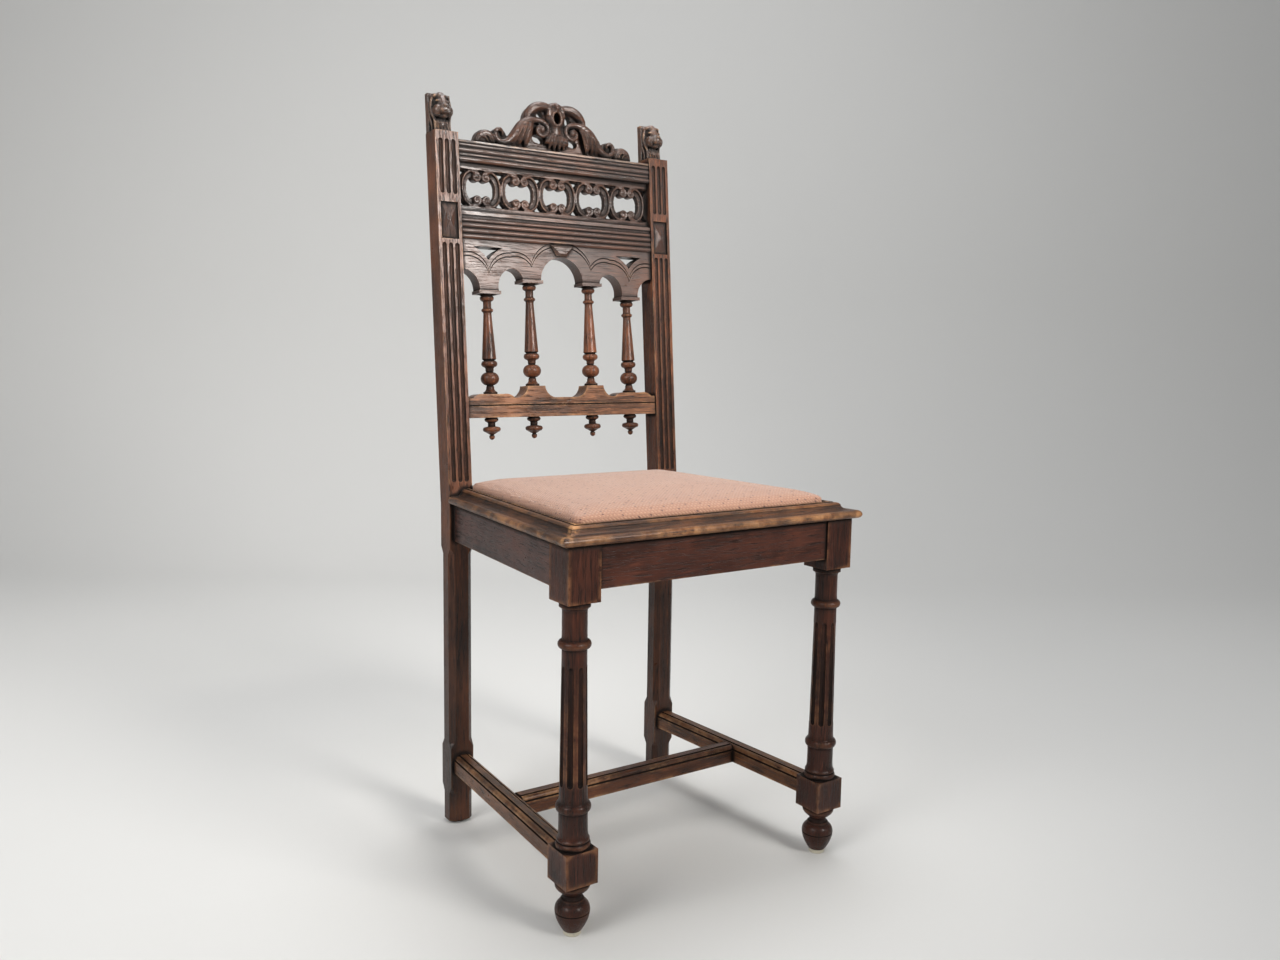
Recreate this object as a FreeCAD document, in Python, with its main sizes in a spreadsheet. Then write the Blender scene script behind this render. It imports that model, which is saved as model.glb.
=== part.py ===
import FreeCAD, Part
import os
import re

import Sketcher

# A carved dining chair of the Renaissance revival: turned and fluted front legs, raked
# rear posts with a fluted face, an arcaded back with four spindles, and a drop-in seat.
# X runs across the chair, the front faces -Y, and the floor is Z = 0. Left and right are
# those of someone who stands in front of the chair.

SIZES = {
    # Plan and seat
    "front_width": 424.0,
    "rear_width": 380.0,
    "seat_depth": 353.0,
    "rail_top": 455.0,
    "rail_height": 51.0,
    "rail_thickness": 30.0,
    "rail_setback": 2.5,
    "rail_inset": 6.0,
    "back_rail_thickness": 24.0,
    "tenon_length": 22.0,
    "tenon_thickness": 10.0,
    "tenon_margin": 4.0,
    "joint_clearance": 0.1,
    "corner_block_reach": 50.0,
    "corner_block_height": 28.0,
    "bearer_depth": 18.0,
    # Front legs, with the upper levels measured down from the seat rails and from each other
    "leg_block": 42.0,
    "block_bottom": 65.0,
    "low_block_bottom": 64.0,
    "low_block_top": 105.0,
    "felt_height": 4.0,
    "felt_radius": 10.5,
    "foot_radius": 11.5,
    "bulb_radius": 20.3,
    "bulb_level": 34.0,
    "neck_radius": 10.0,
    "neck_level": 52.0,
    "saucer_radius": 18.5,
    "saucer_height": 5.0,
    "torus_radius": 19.0,
    "torus_height": 12.0,
    "shaft_low_radius": 16.2,
    "shaft_high_radius": 14.4,
    "ring_radius": 19.5,
    "ring_height": 11.0,
    "ring_fillet": 3.0,
    "low_ring_level": 158.0,
    "high_ring_level": 45.0,
    "cap_radius": 18.0,
    "cap_height": 12.0,
    "flute_low": 24.0,
    "flute_high": 31.0,
    "flute_radius": 3.6,
    "flute_depth": 2.6,
    # Rear posts, with the chamfer stopped below the rails
    "post_width": 34.0,
    "post_depth": 30.0,
    "post_top": 500.0,
    "rake_angle": 4.8,
    "leg_chamfer": 7.0,
    "eased_edge": 0.6,
    "chamfer_stop": 10.0,
    "chamfer_top": 10.0,
    "square_high": 110.0,
    "square_low": 54.0,
    "post_flute_radius": 3.3,
    "post_flute_depth": 2.4,
    "post_flute_pitch": 9.3,
    "post_flute_edge": 10.5,
    "low_flute_start": 29.0,
    "boss_low": 357.0,
    "boss_high": 406.0,
    "boss_recess": 3.0,
    "boss_rise": 4.5,
    "boss_margin": 4.5,
    "boss_ridge": 1.0,
    "finial_height": 55.0,
    "finial_width": 29.0,
    "dowel_radius": 4.0,
    "dowel_length": 9.0,
    # Stretchers
    "stretcher_width": 25.0,
    "stretcher_height": 25.0,
    "stretcher_bottom": 76.0,
    "stretcher_chamfer": 5.0,
    "stretcher_tenon": 16.0,
    "centre_stretcher": 190.0,
    "centre_tenon": 10.0,
    # Back panels, measured up the raked posts from the top of the seat rails
    "back_tenon": 14.0,
    "top_rail_low": 462.5,
    "top_rail_high": 491.0,
    "top_rail_face": 1.0,
    "top_rail_back": 26.0,
    "reed_depth": 2.5,
    "fret_face": 8.0,
    "fret_thickness": 13.0,
    "fret_pitch": 60.0,
    "fret_half_height": 25.0,
    "fret_half_width": 29.0,
    "fret_bar": 7.5,
    "fret_volute": 7.5,
    "fret_gap_half": 8.0,
    "fret_gap_height": 11.0,
    "fret_notch_half": 2.6,
    "fret_notch_height": 4.2,
    "arcade_top": 396.0,
    "arcade_reeds": 359.0,
    "arcade_face": 4.0,
    "arcade_back": 26.0,
    "outer_spindle": 116.0,
    "inner_spindle": 49.0,
    "outer_pier": 290.5,
    "inner_pier": 308.0,
    "pier_half": 14.5,
    "plate_half": 16.5,
    "plate_height": 4.5,
    "plate_proud": 2.5,
    "half_arch_crown": 319.0,
    "small_arch_crown": 322.0,
    "centre_arch_crown": 342.0,
    "line_width": 2.0,
    "line_depth": 1.4,
    "line_offset": 17.0,
    "line_gap": 5.5,
    "pierced_width": 46.0,
    "pierced_height": 18.0,
    "pierced_drop": 9.0,
    "keystone_low": 344.0,
    "keystone_low_half": 9.0,
    "keystone_high_half": 18.0,
    "keystone_proud": 5.0,
    "keystone_bevel": 3.5,
    "spindle_depth": 14.0,
    "spindle_base_radius": 9.8,
    "spindle_base_height": 6.0,
    "spindle_ball_radius": 12.8,
    "spindle_ball_level": 21.5,
    "spindle_ball_height": 18.0,
    "spindle_neck_radius": 5.6,
    "spindle_ring_radius": 11.2,
    "spindle_ring_level": 42.0,
    "spindle_ring_height": 9.0,
    "spindle_swell_radius": 9.9,
    "spindle_collar_radius": 8.2,
    "spindle_collar_drop": 22.0,
    "spindle_collar_height": 5.0,
    "spindle_cap_radius": 9.7,
    "spindle_cap_drop": 5.5,
    "spindle_cap_height": 8.0,
    "low_rail_bottom": 115.5,
    "low_rail_top": 142.5,
    "low_rail_face": 2.0,
    "low_rail_back": 26.0,
    "bump_top": 148.0,
    "bump_half": 32.0,
    "pedestal_top": 159.0,
    "pedestal_half": 14.0,
    "pedestal_flare": 30.0,
    "low_rail_line": 133.5,
    "pendant_drop": 31.0,
    "pendant_tip_radius": 3.8,
    "pendant_disc_radius": 12.4,
    "pendant_disc_drop": 16.5,
    "pendant_disc_height": 7.0,
    "pendant_collar_radius": 9.6,
    "pendant_collar_height": 6.0,
    "pendant_neck_radius": 5.2,
    # Crest
    "crest_width": 257.0,
    "crest_height": 71.0,
    "crest_face": 3.0,
    "crest_back": 23.0,
    "crest_tongue_half": 80.0,
    "crest_eye_half_width": 9.0,
    "crest_eye_half_height": 11.0,
    # Seat moulding and drop-in seat
    "moulding_overhang": 8.4,
    "moulding_width": 30.0,
    "moulding_height": 20.5,
    "nose_height": 10.5,
    "nose_depth": 8.0,
    "inner_fillet": 4.0,
    "moulding_bead": 7.0,
    "bead_fall": 2.5,
    "quirk_depth": 1.2,
    "back_strip_setback": 1.0,
    "seat_gap": 0.4,
    "seat_clearance": 1.2,
    "seat_frame_width": 44.0,
    "seat_frame_height": 17.0,
    "webbing_width": 46.0,
    "webbing_thickness": 1.4,
    "webbing_edge": 14.0,
    "hessian_thickness": 0.8,
    "hessian_edge": 9.0,
    "welt_width": 6.0,
    "welt_height": 6.0,
    "pad_rise": 18.0,
    "pad_lip": 0.6,
    "pad_corner": 13.0,
}

STRAPS_ACROSS = 5
STRAPS_ALONG = 4
LEG_FLUTES = 8
POST_FLUTES = 3
FRET_MOTIFS = 5

# An arc's bulge is its height over half of its chord: 1 is a half round.
HALF_ROUND = 0.9
QUARTER_ROUND = 0.4142
SWELL = 0.35
HOLLOW = -0.35
BEAD_SHARE = HALF_ROUND / 2

NAME = re.compile(r"\b[a-z][a-z_0-9]*\b(?!\()")
V = FreeCAD.Vector

doc = FreeCAD.newDocument("carved_chair")
sheet = doc.addObject("Spreadsheet::Sheet", "Sizes")
for row, (name, number) in enumerate(SIZES.items(), start=1):
    sheet.set(f"A{row}", name)
    sheet.set(f"B{row}", str(number))
    sheet.setAlias(f"B{row}", name)
doc.recompute()

pieces = []


def value(expression):
    """Work out an expression of the sheet's names."""
    result = sheet.evalExpression(expression)
    return float(getattr(result, "Value", result))


def bind(item, target, expression):
    """Tie a property to an expression of the sheet's names."""
    item.setExpression(target, NAME.sub(lambda found: "Sizes." + found.group(0), expression))


def draw(sketch, loop):
    """Draw a closed outline and tie every corner to the sheet.

    A corner is (across, up) or (across, up, bulge), where the bulge bends the edge that
    leaves it, to the right of the direction of travel when it is positive.
    """
    spots = [V(value(corner[0]), value(corner[1]), 0) for corner in loop]
    edges = []
    rules = []
    formulas = []

    def tie(geometry, end, across, up):
        """Hold a point at its distances from the sketch's origin."""
        for kind, formula in (("DistanceX", across), ("DistanceY", up)):
            rules.append(Sketcher.Constraint(kind, -1, 1, geometry, end, value(formula)))
            formulas.append(formula)

    for index, corner in enumerate(loop):
        after = (index + 1) % len(loop)
        start, stop = spots[index], spots[after]
        bulge = corner[2] if len(corner) > 2 else 0
        if bulge:
            top = (start + stop + V(stop.y - start.y, start.x - stop.x, 0) * bulge) / 2
            ends = (start, top, stop) if bulge > 0 else (stop, top, start)
            edge = sketch.addGeometry(Part.Arc(*ends))
        else:
            edge = sketch.addGeometry(Part.LineSegment(start, stop))
        edges.append((edge, 2, 1) if bulge < 0 else (edge, 1, 2))
        tie(*edges[-1][:2], *corner[:2])
        if bulge:
            (x, y), (far_x, far_y) = corner[:2], loop[after][:2]
            spot = sketch.addGeometry(Part.Point(top), True)
            tie(
                spot, 1,
                f"(({x})+({far_x})+(({far_y})-({y}))*({bulge}))/2",
                f"(({y})+({far_y})-(({far_x})-({x}))*({bulge}))/2",
            )
            rules.append(Sketcher.Constraint("PointOnObject", spot, 1, edge))
            formulas.append(None)
    for index, (edge, first, last) in enumerate(edges):
        before = edges[index - 1]
        rules.append(Sketcher.Constraint("Coincident", before[0], before[2], edge, first))
    numbers = sketch.addConstraint(rules)
    for number, formula in zip(numbers, formulas):
        if formula:
            bind(sketch, f"Constraints[{number}]", formula)


def new_body(label):
    body = doc.addObject("PartDesign::Body", label)
    body.Label = label
    return body


def new_sketch(body, role, level, loops):
    """Draw outlines on one of the body's origin planes, moved along to a level."""
    sketch = body.newObject("Sketcher::SketchObject", body.Label + "_outline")
    plane = next(item for item in body.Origin.OriginFeatures if item.Role == role)
    sketch.AttachmentSupport = [(plane, "")]
    sketch.MapMode = "FlatFace"
    bind(sketch, "AttachmentOffset.Base.z", f"-({level})" if role == "XZ_Plane" else level)
    for loop in loops:
        draw(sketch, loop)
    return sketch


def pad(body, role, loops, low, high):
    """Pad outlines between two levels along the plane's own axis."""
    level = high if role == "XZ_Plane" else low
    feature = body.newObject("PartDesign::Pad", body.Label + "_pad")
    feature.Profile = new_sketch(body, role, level, loops)
    bind(feature, "Length", f"({high})-({low})")
    body.Tip = feature
    return feature


def pocket(body, role, loops, low, high):
    """Pocket outlines between two levels along the plane's own axis."""
    level = low if role == "XZ_Plane" else high
    feature = body.newObject("PartDesign::Pocket", body.Label + "_pocket")
    feature.Profile = new_sketch(body, role, level, loops)
    bind(feature, "Length", f"({high})-({low})")
    body.Tip = feature
    return feature


def bore(body, across, behind, low, high, radius):
    """Drill an upright round hole."""
    feature = body.newObject("PartDesign::SubtractiveCylinder", body.Label + "_bore")
    bind(feature, "Radius", radius)
    bind(feature, "Height", f"({high})-({low})")
    bind(feature, "Placement.Base.x", across)
    bind(feature, "Placement.Base.y", behind)
    bind(feature, "Placement.Base.z", low)
    body.Tip = feature
    return feature


def turn(body, profile):
    """Turn a profile of radius and height about the upright axis."""
    feature = body.newObject("PartDesign::Revolution", body.Label + "_turning")
    sketch = new_sketch(body, "XZ_Plane", "0", [profile])
    feature.Profile = sketch
    feature.ReferenceAxis = (sketch, ["V_Axis"])
    body.Tip = feature
    return feature


def loft(body, role, sections):
    """Join outlines at rising levels with straight sides."""
    sketches = [new_sketch(body, role, level, [loop]) for level, loop in sections]
    feature = body.newObject("PartDesign::AdditiveLoft", body.Label + "_loft")
    feature.Profile = sketches[0]
    feature.Sections = sketches[1:]
    feature.Ruled = True
    body.Tip = feature
    return feature


def rect(left, right, low, high):
    return [(left, low), (right, low), (right, high), (left, high)]


def eased_rect(left, right, low, high, ease):
    """A rectangle whose corners are cut off."""
    return [
        (f"{left}+{ease}", low), (f"{right}-{ease}", low),
        (right, f"{low}+{ease}"), (right, f"{high}-{ease}"),
        (f"{right}-{ease}", high), (f"{left}+{ease}", high),
        (left, f"{high}-{ease}"), (left, f"{low}+{ease}"),
    ]


def bead(radius, level, height):
    """Two profile corners that hold a round bead."""
    waist = f"{radius}-{BEAD_SHARE}*({height})"
    return [(waist, f"({level})-({height})/2", HALF_ROUND), (waist, f"({level})+({height})/2")]


def place(item, across="0", behind="0", up="0"):
    bind(item, "Placement.Base.x", across)
    bind(item, "Placement.Base.y", behind)
    bind(item, "Placement.Base.z", up)


def lean(item, across="0", behind="0", up="0"):
    """Place something on the raked posts: behind their face and up from the seat rails."""
    item.Placement = FreeCAD.Placement(V(0, 0, 0), FreeCAD.Rotation(V(1, 0, 0), value("rake_angle")))
    place(
        item,
        across,
        f"{POST_Y}+cos(rake_angle)*({behind})+sin(rake_angle)*({up})",
        f"rail_top-sin(rake_angle)*({behind})+cos(rake_angle)*({up})",
    )
    bind(item, "Placement.Rotation.Angle", "-rake_angle")


def box(label, left, right, front, back, low, high):
    item = doc.addObject("Part::Box", label)
    item.Label = label
    bind(item, "Length", f"({right})-({left})")
    bind(item, "Width", f"({back})-({front})")
    bind(item, "Height", f"({high})-({low})")
    place(item, left, front, low)
    return item


def raked_box(label, left, right, front, back, low, high):
    item = box(label, left, right, front, back, low, high)
    lean(item, left, front, low)
    return item


def join(kind, label, items):
    item = doc.addObject(kind, label)
    item.Label = label
    if kind == "Part::Compound":
        item.Links = items
    else:
        item.Shapes = items
    return item


def cut(label, base, tools):
    item = doc.addObject("Part::Cut", label)
    item.Label = label
    item.Base = base
    item.Tool = join("Part::MultiFuse", label + "_tools", tools)
    return item


def keep(item):
    pieces.append(item)
    return item


def twin(label, source):
    """Keep the mirror image of a left-hand piece as the right-hand one."""
    item = doc.addObject("Part::Mirroring", label)
    item.Label = label
    item.Source = source
    item.Normal = V(1, 0, 0)
    return keep(item)


# Places that several pieces share
HALF_FRONT = "front_width/2"
HALF_REAR = "rear_width/2"
POST_IN = "(rear_width/2-post_width)"
HEAD_BACK_SHARE = 0.9
HEAD_BACK = f"(post_top+finial_height*{HEAD_BACK_SHARE})"
REACH = f"(seat_depth+sin(rake_angle)*{HEAD_BACK}+cos(rake_angle)*post_depth)"
FRONT_Y = f"((moulding_overhang-{REACH})/2)"
POST_Y = f"({FRONT_Y}+seat_depth)"
BLOCK_Y = f"({FRONT_Y}+leg_block)"
RAIL_LOW = "(rail_top-rail_height)"
TAPER = f"(({HALF_FRONT}-rail_setback-{HALF_REAR}+rail_inset)/(seat_depth-leg_block))"
TENON_LOW = (f"{RAIL_LOW}+tenon_margin", "rail_top-rail_height/2-tenon_margin/2")
TENON_HIGH = ("rail_top-rail_height/2+tenon_margin/2", "rail_top-tenon_margin")


def side_x(depth, inset):
    """The left side of the seat at a depth, this far inside the rail's outer face."""
    return f"-({HALF_REAR}-rail_inset+{TAPER}*({POST_Y}-({depth}))-({inset})/cos(atan({TAPER})))"


def loose(spans):
    """A mortise for a tenon: each side is wider by the joint clearance."""
    low, high = spans
    return f"{low}-joint_clearance", f"{high}+joint_clearance"


def middle(centre, width):
    return f"({centre})-({width})/2", f"({centre})+({width})/2"


# Front legs: a turned foot, a square block, a fluted column and a square block at the seat
LEG_BLOCK_LOW = "(rail_top-block_bottom)"
HIGH_RING = f"({LEG_BLOCK_LOW}-high_ring_level)"
FLUTE_LOW = "(low_ring_level+flute_low)"
FLUTE_HIGH = f"({HIGH_RING}-flute_high)"
LEG_PROFILE = [
    ("0", "felt_height"),
    ("foot_radius", "felt_height", SWELL / 3),
    ("bulb_radius", "bulb_level", SWELL),
    ("neck_radius", "neck_level", HOLLOW),
    ("saucer_radius", "low_block_bottom-saucer_height"),
    ("saucer_radius", "low_block_bottom"),
    ("shaft_low_radius", "low_block_top"),
    *bead("torus_radius", "low_block_top+torus_height/2", "torus_height"),
    ("shaft_low_radius", "low_block_top+torus_height"),
    ("shaft_low_radius", "low_ring_level-ring_height/2-ring_fillet"),
    (f"ring_radius-{BEAD_SHARE}*ring_fillet", "low_ring_level-ring_height/2-ring_fillet"),
    (f"ring_radius-{BEAD_SHARE}*ring_fillet", "low_ring_level-ring_height/2"),
    *bead("ring_radius", "low_ring_level", "ring_height"),
    (f"ring_radius-{BEAD_SHARE}*ring_fillet", "low_ring_level+ring_height/2"),
    (f"ring_radius-{BEAD_SHARE}*ring_fillet", "low_ring_level+ring_height/2+ring_fillet"),
    ("shaft_low_radius", "low_ring_level+ring_height/2+2*ring_fillet"),
    ("shaft_high_radius", f"{HIGH_RING}-ring_height/2-2*ring_fillet"),
    (f"ring_radius-{BEAD_SHARE}*ring_fillet", f"{HIGH_RING}-ring_height/2-ring_fillet"),
    (f"ring_radius-{BEAD_SHARE}*ring_fillet", f"{HIGH_RING}-ring_height/2"),
    *bead("ring_radius", HIGH_RING, "ring_height"),
    (f"ring_radius-{BEAD_SHARE}*ring_fillet", f"{HIGH_RING}+ring_height/2"),
    ("shaft_high_radius", f"{HIGH_RING}+ring_height/2+ring_fillet"),
    ("shaft_high_radius", f"{LEG_BLOCK_LOW}-cap_height", HOLLOW),
    ("cap_radius", f"{LEG_BLOCK_LOW}-cap_height/2"),
    ("cap_radius", LEG_BLOCK_LOW),
    ("0", LEG_BLOCK_LOW),
]
HALF_BLOCK = "leg_block/2"
LEG_X = f"(leg_block/2-{HALF_FRONT})"
SIDE_TENON_FRONT = f"{side_x(BLOCK_Y, 'rail_thickness/2')}"
SIDE_TENON_REAR = f"{side_x(POST_Y, 'rail_thickness/2')}"
FRONT_RAIL_Y = f"({FRONT_Y}+rail_setback+rail_thickness/2)"
STRETCHER_REAR = f"(post_width/2-{HALF_REAR})"
STRETCHER_TENON = ("stretcher_bottom+stretcher_height/4", "stretcher_bottom+stretcher_height*3/4")

leg = new_body("front_leg_left")
turn(leg, LEG_PROFILE)
square = rect(f"-{HALF_BLOCK}", HALF_BLOCK, f"-{HALF_BLOCK}", HALF_BLOCK)
pad(leg, "XY_Plane", [square], "low_block_bottom", "low_block_top")
pad(leg, "XY_Plane", [square], LEG_BLOCK_LOW, "rail_top")
front_mortise = rect(
    *loose(middle(f"{FRONT_RAIL_Y}-{FRONT_Y}-{HALF_BLOCK}", "tenon_thickness")),
    *loose(TENON_HIGH),
)
pocket(leg, "YZ_Plane", [front_mortise], f"{HALF_BLOCK}-tenon_length-joint_clearance", HALF_BLOCK)
side_mortise = rect(
    *loose(middle(f"{SIDE_TENON_FRONT}-{LEG_X}", "tenon_thickness")), *loose(TENON_LOW)
)
stretcher_mortise = rect(*loose(middle("0", "stretcher_width/2")), *loose(STRETCHER_TENON))
pocket(leg, "XZ_Plane", [side_mortise], f"{HALF_BLOCK}-tenon_length-joint_clearance", HALF_BLOCK)
pocket(
    leg, "XZ_Plane", [stretcher_mortise],
    f"{HALF_BLOCK}-stretcher_tenon-joint_clearance", HALF_BLOCK,
)
FLUTE_X = "(shaft_low_radius/2+shaft_high_radius/2+flute_radius-flute_depth)"
flute = bore(leg, FLUTE_X, "0", FLUTE_LOW, FLUTE_HIGH, "flute_radius")
ends = []
for level in (FLUTE_LOW, FLUTE_HIGH):
    end = leg.newObject("PartDesign::SubtractiveSphere", "flute_end")
    bind(end, "Radius", "flute_radius")
    place(end, FLUTE_X, "0", level)
    ends.append(end)
flutes = leg.newObject("PartDesign::PolarPattern", "flutes")
flutes.Originals = [flute, *ends]
flutes.Axis = (next(item for item in leg.Origin.OriginFeatures if item.Role == "Z_Axis"), [""])
flutes.Angle = 360
flutes.Occurrences = LEG_FLUTES
leg.Tip = flutes
place(leg, LEG_X, f"{FRONT_Y}+{HALF_BLOCK}", "0")
keep(leg)
twin("front_leg_right", leg)

felt = new_body("felt_front_left")
turn(felt, [("0", "0"), ("felt_radius", "0"), ("felt_radius", "felt_height"), ("0", "felt_height")])
place(felt, LEG_X, f"{FRONT_Y}+{HALF_BLOCK}", "0")
keep(felt)
twin("felt_front_right", felt)

rear_felt = new_body("felt_rear_left")
turn(rear_felt, [("0", "0"), ("felt_radius", "0"), ("felt_radius", "felt_height"), ("0", "felt_height")])
place(rear_felt, STRETCHER_REAR, f"{POST_Y}+post_depth/2", "0")
keep(rear_felt)
twin("felt_rear_right", rear_felt)

# Rear posts: an upright leg with stopped chamfers, then a raked and fluted upper part
POST_LEFT = f"-{HALF_REAR}"
POST_RIGHT = f"-{POST_IN}"
POST_BACK = f"({POST_Y}+post_depth)"
post = new_body("post_blank")
CHAMFER_TOP = f"({RAIL_LOW}-chamfer_top)"
STOPS = [
    ("felt_height", "leg_chamfer"),
    ("square_low-chamfer_stop", "leg_chamfer"),
    ("square_low", "eased_edge"),
    ("square_high", "eased_edge"),
    ("square_high+chamfer_stop", "leg_chamfer"),
    (f"{CHAMFER_TOP}-chamfer_stop", "leg_chamfer"),
    (CHAMFER_TOP, "eased_edge"),
    ("rail_top", "eased_edge"),
]
loft(post, "XY_Plane", [
    (level, eased_rect(POST_LEFT, POST_RIGHT, POST_Y, POST_BACK, ease)) for level, ease in STOPS
])
TOP_Y = f"({POST_Y}+sin(rake_angle)*post_top)"
TOP_Z = "(rail_top+cos(rake_angle)*post_top)"
raked_side = [
    (POST_Y, "rail_top"),
    (POST_BACK, "rail_top"),
    (f"{TOP_Y}+cos(rake_angle)*post_depth", f"{TOP_Z}-sin(rake_angle)*post_depth"),
    (TOP_Y, TOP_Z),
]
pad(post, "YZ_Plane", [raked_side], POST_LEFT, POST_RIGHT)

POST_X = STRETCHER_REAR
tools = [
    box(
        "side_rail_mortise", *loose(middle(SIDE_TENON_REAR, "tenon_thickness")),
        POST_Y, f"{POST_Y}+tenon_length+joint_clearance", *loose(TENON_LOW),
    ),
    box(
        "back_rail_mortise", f"{POST_RIGHT}-tenon_length-joint_clearance", POST_RIGHT,
        *loose(middle(f"{POST_Y}+back_rail_thickness/2", "tenon_thickness")), *loose(TENON_HIGH),
    ),
    box(
        "stretcher_mortise", *loose(middle(POST_X, "stretcher_width/2")),
        POST_Y, f"{POST_Y}+stretcher_tenon+joint_clearance", *loose(STRETCHER_TENON),
    ),
]
BACK_TENONS = {
    "top_rail": ("top_rail_low", "top_rail_high", "top_rail_face", "top_rail_back"),
    "fret": ("arcade_top", "top_rail_low", "fret_face", "fret_face+fret_thickness"),
    "arcade": ("arcade_reeds", "arcade_top", "arcade_face", "arcade_back"),
    "low_rail": ("low_rail_bottom", "low_rail_top", "low_rail_face", "low_rail_back"),
}


def back_tenon(kind):
    """Where a back piece's tenon lies behind the posts' face and up them."""
    low, high, face, back = BACK_TENONS[kind]
    front, rear = middle(f"({face}+{back})/2", "tenon_thickness")
    return (front, rear), (f"{low}+tenon_margin", f"{high}-tenon_margin")


for kind in BACK_TENONS:
    depth, height = back_tenon(kind)
    tools.append(raked_box(
        f"{kind}_mortise", f"{POST_RIGHT}-back_tenon-joint_clearance", POST_RIGHT,
        *loose(depth), *loose(height),
    ))
tools.append(raked_box(
    "boss_recess", f"{POST_LEFT}+boss_margin", f"{POST_RIGHT}-boss_margin",
    "0", "boss_recess", "boss_low", "boss_high",
))
FLUTE_RUNS = {
    "low_flute": ("low_flute_start", "boss_low-post_flute_edge/2"),
    "high_flute": ("boss_high+post_flute_edge", "post_top-post_flute_edge"),
}
for run, (low, high) in FLUTE_RUNS.items():
    for index in range(POST_FLUTES):
        groove = new_body(f"{run}_{index}")
        turn(groove, [
            ("0", f"{low}", QUARTER_ROUND),
            ("post_flute_radius", f"{low}+post_flute_radius"),
            ("post_flute_radius", f"{high}-post_flute_radius", QUARTER_ROUND),
            ("0", f"{high}"),
        ])
        step = f"{POST_X}+post_flute_pitch*({index - (POST_FLUTES - 1) / 2})"
        lean(groove, step, "post_flute_depth-post_flute_radius", "0")
        tools.append(groove)
finial_hole = doc.addObject("Part::Cylinder", "finial_hole")
bind(finial_hole, "Radius", "dowel_radius+joint_clearance")
bind(finial_hole, "Height", "dowel_length+joint_clearance")
lean(finial_hole, POST_X, "post_depth/2", "post_top-dowel_length-joint_clearance")
tools.append(finial_hole)
rear_post = keep(cut("rear_post_left", post, tools))
twin("rear_post_right", rear_post)

boss = doc.addObject("Part::Wedge", "diamond_boss_left")
boss.Label = "diamond_boss_left"
BOSS_HALF = "(post_width/2-boss_margin)"
BOSS_SPAN = "(boss_high-boss_low)"
for target, expression in {
    "Ymin": "boss_recess-boss_rise", "Ymax": "boss_recess",
    "Xmin": "-boss_ridge/2", "Xmax": "boss_ridge/2",
    "Zmin": f"{BOSS_SPAN}/2-boss_ridge", "Zmax": f"{BOSS_SPAN}/2+boss_ridge",
    "X2min": f"-{BOSS_HALF}", "X2max": BOSS_HALF,
    "Z2min": "0", "Z2max": BOSS_SPAN,
}.items():
    bind(boss, target, expression)
lean(boss, POST_X, "0", "boss_low")
keep(boss)
twin("diamond_boss_right", boss)

# Finials: beast heads in profile, as shares of their height and of the post's depth
HEAD_SHARES = [
    (1.0, 0.0, 0), (1.0, HEAD_BACK_SHARE, 0.3), (0.72, 1.0, 0.12), (0.34, 0.93, 0.3), (0.22, 0.78, -0.15),
    (0.08, 0.62, 0.35), (0.06, 0.42, 0.3), (0.22, 0.31, -0.25), (0.27, 0.0, 0),
]
head = new_body("finial_left")
head_loop = [
    (f"post_depth*{deep}", f"post_top+finial_height*{high}", bulge)
    for deep, high, bulge in HEAD_SHARES
]
pad(head, "YZ_Plane", [head_loop], "-finial_width/2", "finial_width/2")
stub = head.newObject("PartDesign::AdditiveCylinder", "finial_stub")
bind(stub, "Radius", "dowel_radius")
bind(stub, "Height", "dowel_length")
place(stub, "0", "post_depth/2", "post_top-dowel_length")
head.Tip = stub
lean(head, POST_X)
keep(head)
twin("finial_right", head)

# Stretchers in an H: two from the front blocks to the posts and one between them
CENTRE_Y = f"({FRONT_Y}+centre_stretcher)"
HALF_STRETCHER = "stretcher_width/2"


def stretcher_section(centre):
    """A square bar with rounded top edges."""
    left, right = f"{centre}-{HALF_STRETCHER}", f"{centre}+{HALF_STRETCHER}"
    top = "stretcher_bottom+stretcher_height"
    return [
        (left, "stretcher_bottom"),
        (right, "stretcher_bottom"),
        (right, f"{top}-stretcher_chamfer", SWELL),
        (f"{right}-stretcher_chamfer", top),
        (f"{left}+stretcher_chamfer", top, SWELL),
        (left, f"{top}-stretcher_chamfer"),
    ]


def stretcher_inner(depth):
    """The inner face of the left stretcher at a depth."""
    run = f"({STRETCHER_REAR}-{LEG_X})/({POST_Y}-{BLOCK_Y})"
    return f"({LEG_X}+{run}*({depth}-{BLOCK_Y})+{HALF_STRETCHER})"


stretcher = new_body("stretcher_left")
loft(stretcher, "XZ_Plane", [
    (BLOCK_Y, stretcher_section(LEG_X)), (POST_Y, stretcher_section(STRETCHER_REAR)),
])
for centre, low, high in (
    (LEG_X, f"{BLOCK_Y}-stretcher_tenon", BLOCK_Y),
    (STRETCHER_REAR, POST_Y, f"{POST_Y}+stretcher_tenon"),
):
    pad(
        stretcher, "XZ_Plane",
        [rect(*middle(centre, HALF_STRETCHER), *STRETCHER_TENON)], low, high,
    )
CENTRE_TENON = middle(CENTRE_Y, HALF_STRETCHER)
pocket(
    stretcher, "YZ_Plane", [rect(*loose(CENTRE_TENON), *loose(STRETCHER_TENON))],
    f"{stretcher_inner(CENTRE_Y)}-centre_tenon-joint_clearance",
    f"{STRETCHER_REAR}+{HALF_STRETCHER}",
)
keep(stretcher)
twin("stretcher_right", stretcher)

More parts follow.
